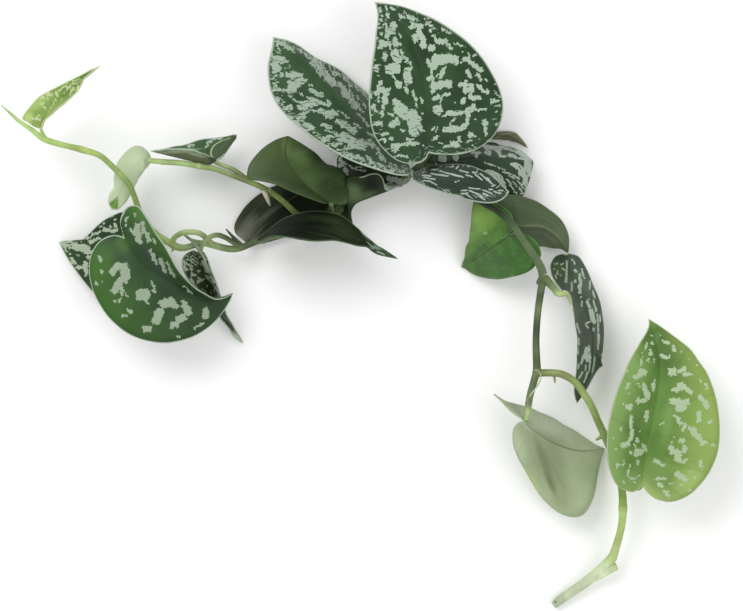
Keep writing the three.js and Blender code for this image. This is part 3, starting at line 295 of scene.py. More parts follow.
# silver patches placed one by one: (x, y, half length, half width, turn), mm and degrees as they
# lie seen from above, the turn left out where it is 0
drawnPatches = dict(
    leaf_low_left_back=[
        (-145.7, 41.4, 2.2, 1.37, -20), (-141.6, 41.1, 2.4, 1.19, 10), (-141.2, 44.3, 1.5, 0.82, -85),
        (-140.5, 47.1, 1.1, 0.55, -80), (-143.7, 43.4, 0.9, 0.55), (-153.3, 39.3, 1.2, 0.55),
        (-149.6, 40.2, 1.8, 0.64, 30), (-158.3, 36.1, 1.6, 0.55, 30), (-155.5, 36.9, 2, 0.73, 30),
        (-159.5, 31.8, 5.5, 1.82, -10), (-167.4, 32.9, 4, 1, -20), (-155.1, 29.6, 3.1, 1.55, -10),
        (-153.3, 35.2, 2.2, 1.09, 10), (-162.8, 34.1, 2.7, 0.64, -10), (-163.5, 30.7, 1.6, 0.73, -30),
        (-164.2, 24.6, 2.7, 1.19, -58), (-161.6, 21.4, 1.3, 0.91), (-157.7, 23.7, 0.8, 1),
        (-157.3, 20.8, 1.6, 2.37), (-159.6, 20.4, 1, 0.73), (-168.3, 31.4, 1.8, 0.55, -60),
        (-156.9, 17.9, 1.8, 0.82, -80), (-161.5, 27.9, 1.2, 0.36, -20), (-148.7, 43.4, 1.5, 0.46, 30),
        (-151.4, 36.6, 2.2, 1.09, 20), (-155.5, 26.6, 1.5, 0.82, -30), (-165.6, 28.4, 0.9, 0.55, -50),
        (-146.9, 45.3, 0.7, 0.46), (-143.2, 49.4, 1.3, 0.46, 30)],
    leaf_crown_under=[
        (-16.5, 79.3, 2.8, 1.3, -42), (-14.9, 75.9, 3.1, 0.77, -42), (-17.8, 76.9, 1.2, 1.23, -60),
        (-13.9, 73.1, 2.6, 0.61, -50), (-11.3, 76.3, 2, 0.54, -30), (-17.3, 81.3, 1.2, 1.07),
        (-14.9, 78.6, 2.3, 0.54, -45), (-7.9, 75.8, 2.8, 0.54, 10), (-5.9, 74.1, 3.5, 0.46, -8),
        (-12.3, 73.6, 1.2, 0.54, -60), (9.1, 65.6, 2, 2.3, -60), (12.7, 69, 5.1, 1.53, -10),
        (15.4, 67.3, 4.8, 1.38, 30), (12.7, 66, 3.1, 1.23, 20), (18.1, 69.3, 3.1, 1.07, 20),
        (10.1, 68.6, 2.3, 1.07, -60)],
    leaf_tip_left=[
        (-177.4, 116.2, 2, 1, -10), (-179.9, 114.4, 2.7, 0.64, -10), (-173.8, 113.5, 1.1, 0.64, -60),
        (-170.6, 113.5, 0.6, 1), (-175.5, 110.2, 2.9, 0.82, 58), (-177.1, 107.7, 2, 0.82, 60),
        (-179.7, 109, 0.8, 0.82), (-184.6, 103.1, 3.6, 0.55, -10), (-182.8, 104.6, 0.8, 0.91),
        (-189.3, 101.2, 0.7, 0.46), (-187.4, 99.8, 0.9, 0.46), (-164.2, 121.3, 4.7, 0.64, 25),
        (-167.1, 123, 3.6, 0.55, 30), (-162.8, 123.5, 3.2, 0.46, 30), (-164.2, 118.4, 2, 0.55, 68),
        (-161.3, 120, 2.2, 0.46, 68), (-165.5, 116.8, 1.6, 0.55, 60), (-169.7, 120.1, 2.7, 0.46, 25),
        (-158.5, 125, 2.3, 0.4, 40), (-172.4, 117.7, 1.8, 0.46, 30), (-181.1, 110.9, 0.8, 0.55),
        (-172.9, 115.4, 0.9, 0.46, -40), (-183.2, 102, 2, 0.46, -10), (-168.3, 117.7, 1.5, 0.46, 30)],
    leaf_crown_front=[
        (7.3, 143.9, 3.4, 1.68), (4.5, 141.6, 1.4, 1.12), (10.3, 140.8, 2.5, 0.79, -60),
        (7.3, 136.9, 2.9, 1.35, -85), (13.4, 136.9, 4.2, 2.53, -62), (11.5, 130.1, 4.5, 3.09),
        (17.6, 137.4, 4.4, 0.84, -58), (21.6, 132.4, 2.1, 0.67, -65), (19.9, 126.2, 5.1, 2.47, -85),
        (14.8, 121.7, 2.2, 1.91), (12.6, 125.1, 2.8, 0.56, -55), (19.3, 118.4, 2.4, 1.12, -60),
        (23.3, 115.6, 3.4, 0.62, -65), (24.7, 110.2, 1.4, 0.51, -55), (27.5, 113, 2, 0.67, -65),
        (4.5, 121.2, 3.4, 1.12, 75), (3.3, 117.8, 2.7, 1.35, 60), (8.1, 118.4, 2.6, 1.57, -10),
        (7.5, 113.9, 4.5, 1.68, 80), (6.1, 106.6, 3.1, 1.23, 85), (3.9, 113.3, 1.9, 0.67, 90),
        (13.7, 111.6, 2.6, 2.02), (17.1, 106.6, 5.6, 3.26, -40), (23.3, 103.8, 4.8, 2.69, -50),
        (12.6, 100.4, 3.4, 1.91, 35), (22.7, 97.6, 4.8, 2.47, -70), (26.6, 98.2, 3.4, 1.35, -60),
        (10.3, 105.4, 2, 0.51, -20), (3.6, 100.1, 2.5, 1.12), (7.5, 94.2, 2.6, 0.95, 10),
        (10.9, 92, 1.4, 1.23), (7, 90.9, 1.2, 0.67, -60), (16.5, 96.5, 1.4, 0.62, -20),
        (21, 91.4, 2.4, 0.73), (18.8, 88.9, 7.9, 1.23, 4), (13.1, 87.2, 2.2, 2.13, -40),
        (16.5, 82.4, 3.1, 0.79, -10), (19.3, 81.3, 1.4, 0.51, -30), (28.9, 87.5, 1.1, 0.51, -45),
        (8.7, 86.1, 0.7, 0.45), (27.7, 105.4, 0.8, 0.45, 45), (2.5, 130.1, 1.7, 1.8),
        (33.1, 141.6, 2.2, 1.46, 10), (32.2, 150.9, 1.1, 0.56, -60), (35, 146.4, 3.1, 0.95, -60),
        (39, 145, 3.1, 1.68), (42.6, 142.2, 2.8, 0.95, -45), (41.2, 150.9, 3.4, 0.79, -30),
        (46.3, 143.9, 2, 0.73, -10), (49.3, 142.8, 1.4, 0.39, -30), (50.2, 139.4, 0.6, 0.51),
        (53.6, 138.3, 1.7, 0.51, -45), (35.6, 135.8, 2.6, 2.47, 90), (41.2, 136, 3.5, 2.81),
        (45.7, 134.9, 2.4, 2.81), (33.4, 131.8, 2.8, 2.13, -60), (31.1, 134.1, 1.9, 0.79, -80),
        (37.8, 132.9, 3.4, 1.57, 20), (33.1, 127.3, 4.5, 0.84, -88), (31.4, 124.8, 1.1, 1.57),
        (38.7, 127.3, 3.5, 1.12, 70), (40.6, 129.6, 1.7, 0.45, 70), (36.2, 126.8, 1.4, 0.34, 75),
        (35.6, 121.2, 3.4, 2.53), (41.2, 121.7, 3.4, 2.47, 5), (33.9, 118.4, 2.2, 1.35, 60),
        (35.6, 114.4, 2.6, 1.57, 35), (41.2, 115.8, 2.8, 0.95, 15), (38.1, 112.2, 1.7, 0.62, 80),
        (36.2, 107.7, 2.6, 2.24), (37.3, 105.6, 1.1, 0.84), (45.1, 111.1, 1, 0.39, 60),
        (53, 119.5, 3.4, 3.09), (49.6, 121.7, 2, 1.01), (51.9, 123.4, 1.1, 0.79),
        (54.4, 115.6, 2.5, 1.35, 90), (57.5, 113.9, 2.8, 1.29, 5), (50.5, 112.5, 1.8, 1.46, 90),
        (60.9, 118.9, 3.5, 1.01, -38), (58.6, 120.8, 1.4, 0.67), (63.4, 117.8, 1.3, 1.12, -60),
        (53.3, 127.3, 2.8, 1.23, -50), (58.9, 125.4, 2.5, 0.9, -50), (62.8, 124.5, 1.7, 0.45, -60),
        (52.4, 135.2, 2.5, 1.35), (55.8, 132.7, 3.9, 1.4, -42), (59.2, 130.1, 2.5, 1.12, -40),
        (49.6, 133.8, 1.1, 0.62), (65.8, 112.2, 0.6, 1.4), (68.4, 112.4, 2, 1.01),
        (69.6, 115.6, 2, 0.45, -50), (70.4, 109.4, 0.5, 0.51), (46.3, 106, 5.1, 1.46, 5),
        (41.2, 105.4, 2.8, 0.73, 35), (54.1, 107.7, 3.9, 1.91, 30), (60.3, 107.7, 2.8, 0.73, 15),
        (52.7, 102.1, 3.1, 1.46, 80), (50.2, 98.2, 2.8, 1.35, 45), (45.1, 97, 6.3, 1.91, 3),
        (44.6, 101, 2.5, 0.51, 50), (56.9, 102.4, 1.2, 0.45, 30), (62.5, 100.4, 2, 1.8, -60),
        (62.8, 95.9, 2.8, 0.95, -80), (55.2, 93.7, 2.6, 1.18, -5), (54.1, 90.6, 1.7, 0.84, 15),
        (48.5, 92, 2.2, 1.07, 70), (44, 87.8, 5.2, 1.01, 4), (45.1, 89.2, 2.4, 1.35, 20),
        (35, 92.3, 2.1, 0.73, 45), (38.1, 89.2, 2, 0.39, 15), (35.6, 96.5, 2.2, 0.39, 55),
        (34.2, 97.6, 1.4, 0.34, 60), (49.6, 90.3, 0.8, 0.51), (55, 87.8, 0.6, 0.45),
        (70.4, 100.4, 0.8, 0.51, 90), (4.6, 162.1, 1.6, 0.46, 85), (4.8, 158.2, 1.1, 0.36, 60),
        (5.3, 156.9, 0.9, 0.36, 60), (8.9, 159.4, 2.3, 0.68, -65), (8.2, 163.7, 2.1, 0.41, -45),
        (11, 163.5, 1.4, 0.59, -20), (13.3, 162.9, 1.4, 0.36), (15.7, 162.8, 0.6, 0.41),
        (13, 161, 0.5, 0.28, -20), (18.9, 161, 1.4, 0.41, -15), (16.7, 158.9, 1.7, 0.82, -10),
        (16.2, 157.3, 1.1, 0.5, 90), (21.7, 158.2, 2.4, 1.37, -5), (24.6, 153.9, 3.7, 1.73, -10),
        (21.9, 153, 1.4, 0.91), (26.7, 153, 2, 1.92), (26, 149.8, 2.7, 1.37, 90),
        (27.6, 147, 2.7, 1.82, -70), (24, 147, 2.5, 1.09, -70), (28.3, 143.4, 2.8, 1.55, -80),
        (31.5, 154.3, 2.1, 0.55, -10), (32.6, 151.2, 1, 0.5, -50), (41.7, 150.5, 2.7, 0.64, -35),
        (30.6, 156.9, 2.1, 0.41, -25), (12.3, 153.9, 2.4, 1.73, -45), (10.3, 150.7, 3, 2.19),
        (8.7, 148.4, 2.2, 1.28, 90), (8.2, 153.4, 1.8, 0.64, -80), (6.9, 154.8, 0.6, 0.46),
        (4.1, 154.3, 0.5, 0.55), (4.3, 152.5, 0.8, 0.55), (5.5, 148.9, 1.6, 0.68, 60),
        (15.5, 148, 2.1, 0.41, -60), (13, 145.2, 2.3, 1.55, -60), (13.7, 143.6, 2.4, 1.09),
        (0.8, 108.4, 1.2, 0.52, 60), (2.9, 130.7, 1.2, 1.7)],
    leaf_crown_left=[
        (-28.1, 129.8, 3.5, 1.16, -50), (-23.4, 124.3, 4.6, 2.08, -48), (-19.4, 127.3, 2.5, 0.58, -40),
        (-16.2, 118.9, 4.2, 1.27, -60), (-13, 122, 3.5, 0.69, -50), (-10, 111.1, 3.7, 1.27, -60),
        (-7.2, 113.6, 2.8, 0.58, -55), (-3.7, 109.6, 2.3, 0.58, -60), (-8.1, 119.4, 3.2, 0.58, -50),
        (-3.7, 115.4, 2.3, 0.58, -50), (-14.7, 126.1, 2.9, 0.46, -45), (-5.8, 103.2, 3.2, 0.69, -45),
        (-2.6, 99.5, 2.5, 0.69, -45), (-30.9, 133.3, 2.8, 0.93, -50), (-19.9, 121.7, 2.1, 0.69, -50),
        (-14.7, 114.8, 2.3, 0.69, -60), (-11.3, 117.1, 2.3, 0.58, -55), (-5.5, 107.3, 2.3, 0.58, -50),
        (-52, 144.9, 2.2, 0.74, -35), (-47.2, 142.8, 3.7, 1.37, -35), (-43.8, 140.1, 2.1, 0.68, -40),
        (-51.2, 141.7, 2.9, 0.47, -70), (-50.9, 135.4, 3.7, 1.79, -10), (-52.5, 131.2, 3.2, 2.21, -60),
        (-48, 134.3, 2.5, 1.16), (-46.2, 131.2, 1.8, 0.47, 30), (-41.4, 126.4, 3.8, 2.21, -20),
        (-38.8, 123.8, 3.2, 2.32, -30), (-43, 121.4, 3.7, 2.74), (-45.1, 126.4, 2.5, 1.47, -20),
        (-44.1, 118, 3.2, 1.16, -10), (-48.3, 118.3, 3.2, 0.95, -10), (-49.3, 127, 1.6, 1.16, -60),
        (-53, 125.9, 1.2, 0.58, 30), (-33.3, 120.7, 1.9, 0.53, -5), (-30.7, 117.2, 4.8, 1.32, -22),
        (-38.3, 115.9, 1.6, 0.63, -30), (-44.6, 114.9, 1.1, 0.63, -30), (-41.4, 112.2, 2.6, 0.53, -25),
        (-32.5, 113.3, 4.2, 0.89, -15), (-34.6, 110.7, 5.8, 1.79), (-27.2, 111.2, 5.3, 1.05, -15),
        (-37.8, 108.6, 3.2, 1.37, -20), (-23.3, 111.7, 1.8, 0.47, -50), (-32.5, 107, 3.8, 0.68),
        (-28.3, 108.1, 2.6, 0.37, -20), (-24.1, 105.9, 5.5, 1.89, -10), (-23.4, 103.6, 2.2, 1.47),
        (-16.7, 105.9, 3.3, 0.47, -25), (-13.3, 103.3, 2.7, 0.42, -35), (-38.8, 103.8, 2.6, 1.89, -20),
        (-35.9, 105.9, 2.5, 0.74, 20), (-45.7, 108.6, 2.6, 1.47, 10), (-48.8, 109.6, 1.6, 0.53, -60),
        (-44.6, 103.7, 2.1, 1.05, -20), (-40.9, 100.9, 1.6, 0.63, -30), (-34.9, 98.6, 3.8, 1.37, -25),
        (-36.7, 96.3, 2.1, 0.42, -30), (-25.1, 98.6, 3.2, 1.16, -15), (-22.5, 95.4, 3.8, 0.84, -20),
        (-16.7, 100.7, 3.2, 1.16, -15), (-14.3, 98.3, 3.2, 1.47, -20), (-12.5, 96.9, 1.5, 0.95, -30),
        (-7.2, 98.6, 3.3, 0.42, -25), (-24.9, 91.7, 2.6, 1.68, 10), (-20.4, 92.7, 3.2, 0.53),
        (-17.2, 90.4, 2.6, 0.47, -10), (-15.7, 93.3, 1.6, 0.47), (-8.3, 89.6, 6.3, 2.21, -10),
        (-1.7, 88.8, 3.3, 0.68, -45), (-13.5, 86.4, 2.6, 1.16), (-53, 113.8, 2.4, 1.05, -40),
        (-51.7, 112.2, 1.5, 1.05, 60), (-54.6, 118, 2.6, 0.63, 60), (-53, 121.4, 2.1, 0.84, -40),
        (-22.5, 88.6, 1.7, 0.95), (-36.7, 137.5, 4.8, 0.74, -40), (-32.5, 132.1, 2.6, 0.84, -55),
        (-29.3, 128, 2.7, 0.63, -60), (-38.8, 141.7, 2.6, 0.47, -30), (-25.1, 126.4, 4.8, 1.58, -42),
        (-21.4, 123, 3.1, 1.26, -30), (-27.2, 131.2, 4.8, 0.42, -45), (-29.6, 134.3, 4.8, 0.42, -40),
        (-20.9, 127, 3.3, 0.47, -50), (-16.7, 120.7, 3.2, 0.63, -50), (-14.6, 119.1, 4.2, 0.84, -55),
        (-16.4, 117.2, 3.2, 0.53, -70), (-11.4, 112.8, 4.2, 1.32, -60), (-8, 110.7, 2.2, 0.53, -50),
        (-11, 109.6, 2.1, 0.68, -70), (-17.2, 125.9, 2.6, 0.47, -30), (-9.9, 96.3, 2, 2),
        (-13.9, 92.9, 4, 1.33, -30), (-8.3, 88.3, 5.7, 2.53, -12), (1.1, 88.3, 4.7, 0.93, -45),
        (0.7, 93.3, 4, 0.67, -30), (-5.9, 80.6, 2.7, 0.93, -35), (-0.6, 79.3, 4.7, 1.07, -50),
        (-13.9, 82.6, 2.7, 0.8, -20), (-9.9, 81.6, 2.7, 0.67, -30), (5.4, 81.3, 4, 1.2, -50),
        (5.4, 76.6, 3, 0.53, -30), (-0.6, 75.9, 4, 0.6, -25), (8.7, 74.6, 3.3, 0.6, -25),
        (12.1, 77.3, 3.3, 0.6, -20), (14.7, 73.3, 4, 0.6, -5), (12.7, 75.3, 4, 0.47, -15),
        (18.1, 74.6, 2.7, 0.6, 10), (-18.6, 88.6, 2.7, 0.8, 10), (-16.6, 91.9, 4, 1.07, -30),
        (3.4, 74.3, 2.7, 0.47, -15)],
    leaf_crown_right=[
        (66.3, 86.6, 5.5, 1.18, -8), (75.5, 85.8, 5.9, 0.96, -15), (81, 84, 3.4, 1.22, -25),
        (83.9, 82.2, 3, 1.77, -40), (57.4, 83.8, 2.8, 0.96, -5), (57.6, 82.3, 1.1, 0.81, 90),
        (64, 84.2, 2.2, 1.62, -20), (69.6, 84.4, 2.2, 1.18, -50), (72.1, 81.8, 2.2, 0.74),
        (76.9, 82.3, 2.2, 1.03, -10), (81, 80.7, 3, 0.74, -15), (38.8, 80.7, 2.8, 1.84),
        (46.4, 81.1, 1.8, 1.55), (85.8, 75.9, 2.2, 5.52), (81, 75.9, 4.1, 1.62, -35),
        (78.8, 77.4, 3, 0.96, -10), (82.8, 73, 2.6, 2.06), (64.8, 77.9, 3.4, 0.37, -15),
        (69.2, 76.3, 3.4, 0.33, -20), (71.8, 75.2, 2.2, 0.37, -20), (66.3, 73, 4.1, 1.4, -15),
        (63.7, 72.2, 1.8, 1.03, -20), (69.6, 70.7, 3.4, 1.92, -40), (71.8, 67.8, 1.7, 2.43),
        (72.9, 65.2, 1.4, 1.4), (74.7, 73, 3, 0.37, -20), (76.9, 70.7, 2.2, 0.41, -30),
        (75.5, 68.3, 2.2, 0.41, -40), (77.3, 64.9, 2.6, 0.33, -50), (78.8, 67.1, 2.2, 0.37, -50),
        (81, 67.8, 1.8, 0.37, -55), (82.5, 66, 2.2, 0.44, -60), (79.5, 70.7, 2.6, 0.41, -30),
        (84.3, 68.9, 1.4, 2.95), (81.7, 63.9, 1.5, 0.41, -60), (85, 64.9, 1, 2.58),
        (79.1, 62.3, 1.5, 0.37, -40), (82.5, 61.7, 1.1, 0.66)],
    leaf_crown_low=[
        (39.7, 73.2, 3, 0.4, -15), (43.4, 72.1, 3.8, 0.48, -15), (47.8, 71, 3.4, 0.48, -15),
        (37.5, 71.6, 5.4, 0.41, -8), (34.6, 74.4, 1.9, 0.4), (44.3, 76, 1.2, 0.4),
        (50.8, 73.4, 2.9, 0.4, -15), (53.7, 71.1, 2.4, 0.4, -15), (58.9, 70.3, 2.9, 0.4, -35),
        (62.6, 69.8, 4.3, 0.4, -42), (56.5, 72.8, 1.4, 0.4, -20), (65, 68.3, 2.9, 0.4, -50),
        (32, 69.6, 3.8, 0.4, -10), (33.8, 67.1, 2.9, 0.4, -30), (46.2, 67.7, 0.6, 0.44),
        (47.8, 68.3, 0.6, 0.4), (56.5, 64.1, 3.6, 0.4, -5), (56.3, 61.9, 3.4, 0.41, -20),
        (51.2, 61.4, 2.4, 0.4), (50.8, 63, 1.9, 0.4), (62.6, 60.6, 1.9, 0.48, -25),
        (59.4, 59.7, 1.2, 0.4, -20), (63.7, 62.3, 3.4, 0.44, -22), (68.6, 62, 1.9, 0.4, -20),
        (70.3, 61.6, 1.3, 0.4), (65.5, 63.7, 1.4, 0.4), (71, 63, 1.7, 0.4), (30.2, 71.1, 2.9, 0.52, -5),
        (30.5, 68.2, 2.4, 0.4, -10)],
    leaf_low_left=[
        (-140.8, 20.5, 4.7, 1.92, 49), (-135.5, 17.9, 5.7, 2.74, -85), (-139.4, 11.5, 6, 2.19, 58),
        (-137.3, 8.3, 3.3, 1.09, -85), (-134.8, 5.9, 1.3, 0.55, -60), (-138.7, 2.8, 1.2, 1.09),
        (-141.6, 1.7, 1.6, 0.55, 75), (-135.9, -5.4, 1.5, 1.09), (-132.7, -3.1, 1.8, 1.19, -30),
        (-125.7, 5.9, 4.2, 3.47), (-123.6, 2.2, 1.6, 0.73, -60), (-120.2, 10.6, 3.8, 0.82, -72),
        (-117.7, -5.8, 5.3, 2.46, 70), (-113.1, 1.5, 4.2, 2.55), (-109, 1.5, 4.2, 1.64, -53),
        (-102, -1.3, 4.7, 2.01, -60), (-104.9, -7.2, 3.8, 2.1, 27), (-108.1, -10.4, 2.6, 1.46, -30),
        (-109.7, -12.2, 1.3, 0.82, 60), (-91.4, -4.2, 3.3, 1.46, 88), (-94.9, -10.8, 3.6, 0.73, 35),
        (-123.3, -12.7, 2.6, 1.73), (-149.1, 25.4, 1.8, 0.82, -70), (-148.5, 18.6, 1.2, 0.73, 50),
        (-151.2, 12.4, 0.8, 0.82), (-148.2, 12.4, 0.5, 0.55), (-134.3, 47.5, 1.8, 0.55, 80),
        (-129.8, 50, 1.6, 0.46, 90), (-134.6, 44.2, 0.9, 0.73), (-128.4, 39.8, 6, 1.82, -85),
        (-125.3, 43, 3.3, 1.28, -80), (-131.6, 40.7, 2, 1.19, -60), (-127, 34.5, 1.3, 1.28),
        (-122.5, 37.5, 3.3, 1.28, -72), (-119.3, 35.7, 1.6, 0.73, -70), (-120, 27, 4.7, 1.28, -62),
        (-114.8, 22.5, 4.4, 1.09, -68), (-110.4, 19.9, 5.1, 0.91, -62), (-100.8, 8.8, 3.6, 0.73, -40),
        (-106.3, -17.2, 1.1, 0.55)],
    leaf_end=[
        (141.5, -55.6, 2.2, 1.65), (142.7, -53.9, 1, 0.39, -60), (142.7, -64.6, 4.5, 1.02, 90),
        (142.9, -70.9, 2.9, 1.26, 85), (139.6, -76.4, 2.9, 1.45, 20), (142, -73.8, 2.4, 0.87, 60),
        (151.2, -60.7, 3.4, 1.26, 90), (145.9, -74, 1.4, 0.58, -60), (144.9, -77.1, 1.5, 0.68, 90),
        (146.8, -80.5, 2.7, 2.03), (150.1, -78.1, 2.2, 1.16, -60), (146.3, -85.9, 2.4, 0.73, 88),
        (142.5, -80.6, 1.2, 0.34, -30), (134.7, -88.5, 2.2, 0.44, 85), (137.1, -88, 2.2, 0.48),
        (138.7, -86.1, 1.5, 0.39, -80), (141.6, -89.7, 2.4, 0.73, 65), (140.8, -93.1, 1.7, 0.53, 90),
        (143.9, -95.1, 2.2, 0.53), (146.7, -93.8, 1.9, 0.53, 30), (136.9, -67.7, 1.4, 0.58, 90),
        (132.8, -73.3, 0.4, 0.73), (136.2, -71.8, 0.4, 0.58), (147.5, -68.7, 0.9, 0.44, -60),
        (170.1, -54.9, 3.7, 3.19), (167.1, -52.7, 2.9, 1.84), (173, -53.2, 2.2, 1.45),
        (169.6, -57.2, 2.4, 1.16), (166.7, -60.7, 1.2, 0.58, -60), (169, -63.5, 2.7, 0.97, -55),
        (172, -67.2, 2.2, 1.36, 60), (176.6, -67.9, 2.7, 1.36, -10), (178.8, -71.3, 3.4, 1.74, -45),
        (181.4, -74.7, 2.7, 1.45, -60), (183.8, -75.3, 1.5, 0.77), (180.2, -61.2, 3.4, 1.45, -85),
        (184.1, -55.4, 2.4, 1.45, -60), (182.6, -52.7, 1.5, 0.68), (185.8, -64.3, 1.4, 0.97),
        (188, -76.4, 1.2, 0.68, -60), (170.8, -74.2, 1.8, 1.36, -20), (164.7, -75.3, 0.9, 0.44, 50),
        (165.2, -79.1, 1.8, 2.32), (168.6, -81.5, 2.9, 2.03, -60), (172.2, -79.1, 2.2, 1.36, 80),
        (168.5, -84.5, 2.1, 1.55), (172.5, -84.9, 2, 0.97, 30), (157.1, -85.6, 2.3, 1.45, -20),
        (159.4, -87.6, 2, 0.68, -15), (159.4, -95.3, 2.9, 1.06), (156, -95, 1, 0.34),
        (158.7, -98.7, 1.6, 1.11), (169.6, -93.4, 2.9, 1.94, -40), (172, -95.6, 1.9, 0.87, -10),
        (171, -98.9, 1.4, 0.53), (180.9, -86.6, 2.2, 0.97, -70), (181.9, -90, 0.7, 0.44),
        (162.3, -103.3, 2.7, 0.97, -40), (177.8, -94.6, 0.9, 0.44, -20), (171.3, -88.5, 0.8, 0.34, 30),
        (174.9, -91.7, 0.9, 0.29, 50), (164.7, -98, 1.2, 0.39, 30), (175.4, -101.6, 1.2, 0.58),
        (138.3, -97.2, 0.9, 0.39, -50), (144.2, -97.2, 0.6, 0.34), (135.2, -94.6, 0.5, 0.28, -40),
        (134.2, -78.8, 0.6, 0.53), (148.8, -52.5, 2.9, 0.97, 10), (159.9, -65.3, 1.4, 0.29, 40),
        (166.7, -71.8, 0.8, 0.29, 50), (162.1, -20.3, 2.2, 0.77, -20), (164.3, -20.8, 0.7, 0.44, 60),
        (160.6, -19.6, 1.2, 0.44, -60), (166.4, -24.2, 2.2, 0.97, -55), (161.8, -28.6, 2.4, 1.06, -5),
        (159.9, -27.6, 1, 0.63, -60), (164.3, -27.1, 1.2, 0.34, 80), (150.9, -22.5, 2.4, 0.73, 70),
        (154.1, -20.5, 0.7, 0.44, 60), (153.2, -25.7, 1.6, 1.06, -85), (149, -26.9, 1.6, 0.34, 85),
        (152, -30, 1.1, 0.92, 90), (148.3, -31.2, 1.6, 0.68, 75), (155, -30.7, 1.4, 0.44, -60),
        (149, -36.6, 2.4, 1.65, -20), (146.3, -39, 2.7, 1.06, 15), (144.4, -39, 1.2, 0.53, -20),
        (165.5, -36.6, 2.3, 2.32), (170.5, -35.6, 2.7, 1.65, 30), (173.2, -38, 2.4, 1.26, 10),
        (176.6, -37.9, 0.5, 0.44), (140.5, -44.1, 2.2, 1.06, 60), (154.8, -44.8, 2.3, 1.26, 90),
        (155.2, -41.4, 1.5, 0.39, 90), (149.7, -43.3, 1.6, 0.92, 90), (150.9, -48.2, 3.9, 1.65, -70),
        (149.2, -52, 2.9, 0.87, 15), (146.4, -52.3, 1.6, 0.77, 60), (146.8, -43.8, 1.6, 0.39, -60),
        (145, -44.2, 0.6, 0.44), (170.5, -44.8, 2.9, 2.13), (167.1, -46.2, 2.4, 1.55, -20),
        (173.9, -46.3, 3.4, 1.65, -35), (181.2, -41.9, 1.4, 0.44, -70), (184.1, -44.3, 2.2, 0.77, -55),
        (181.4, -50.6, 2.4, 1.36, -40), (183.6, -53.3, 2.2, 1.16, -60), (154.3, -16.5, 0.9, 0.44),
        (158.9, -16.2, 0.6, 0.44), (169.8, -25.4, 0.6, 0.39), (174.9, -29.8, 0.4, 0.44),
        (179, -32.9, 0.5, 0.44), (140.5, -36.3, 0.6, 0.29, 45), (141.4, -48.9, 0.4, 0.63),
        (139.5, -51, 0.4, 0.39), (138.3, -54, 0.4, 1.16)],
    leaf_right_hanging=[
        (102.3, 23, 0.7, 0.68), (100.8, 22.8, 0.4, 0.5), (105.2, 22.9, 1.3, 0.5, 30),
        (107.7, 22.6, 2.6, 0.63, -88), (106, 20, 1.5, 0.5, -40), (107.5, 16.8, 3.2, 0.68, 88),
        (107.3, 13.7, 1.3, 0.87, 90), (111.3, 23.4, 1.1, 0.5, -80), (110.2, 24.9, 0.7, 0.5, -50),
        (100.7, 20.1, 0.4, 0.5), (102.5, 18.3, 1.3, 0.5, -85), (104.4, 16.8, 0.5, 0.5),
        (101.7, 15.8, 1.3, 0.5, -70), (112.1, 18.9, 1.2, 0.68, -40), (115.9, 17.9, 2.7, 0.5, -75),
        (116.8, 15, 0.6, 0.5, -60), (114.2, 15.8, 2.1, 0.74, 90), (114.8, 12.6, 2.4, 0.95, -85),
        (114.4, 10.3, 1.6, 0.95, 90), (114.7, 7.6, 1.2, 0.74, 90), (110.4, 10.5, 2.9, 0.63, 90),
        (112, 13.3, 0.9, 0.5, -70), (119.8, 11.1, 2.7, 0.5, 85), (122, 6.1, 2.4, 0.5, -75),
        (115.6, 4.6, 0.6, 0.5), (115.9, 1, 1.9, 0.5, 85), (119, 0.4, 2.3, 0.85, -65),
        (120.9, -4.8, 3.2, 1.47, -75), (121.8, -8.3, 1.9, 1.23, -60), (119.3, -9.3, 1.5, 0.5, 20),
        (118.6, -11.2, 1.7, 0.5, -55), (121.9, -13.1, 1.1, 0.5, 90), (119, 3.3, 0.5, 0.5),
        (122.1, 1.3, 2.3, 0.5, -80), (123.1, -2.1, 1.7, 0.62, -80), (124.2, -7.9, 3.6, 0.5, -85),
        (124.4, -12.6, 2.3, 0.5, -88), (124.6, -18, 3.2, 0.77, 88), (124.4, -22.6, 1.7, 0.5, 90),
        (125.4, -7.1, 2.3, 0.5, -85), (113.7, -11.4, 2.3, 0.5, -72), (114.6, -14.1, 1.5, 0.5, -70),
        (114.4, -19.9, 2.3, 0.5, -85), (113.7, -24.9, 2.3, 0.5, -82), (118.2, -26.1, 3.6, 1.16, 80),
        (116.3, -29.5, 3.2, 0.66, 75), (119, -28.8, 2.3, 1.08, 90), (120.2, -25.7, 4.3, 0.5, -85),
        (120.4, -31.8, 4.3, 0.5, 85), (118.2, -39.2, 3.9, 0.5, 68), (122.1, -31.5, 3.6, 0.5, 83),
        (121.3, -35.3, 1.5, 0.5, 88), (114, -33.4, 1.8, 0.5, 80), (115.3, -38.4, 2.4, 0.58, 63),
        (118, -34.2, 1.8, 0.5, 85), (126.5, -27.2, 0.9, 0.5, 80)],
    leaf_fold=[
        (-99.4, 87.8, 2.2, 0.55, 8), (-88, 90.3, 3.3, 0.55, 30), (-83.8, 91.8, 2.4, 0.46, 5),
        (-90.3, 87.8, 1.5, 0.46, 30)],
)

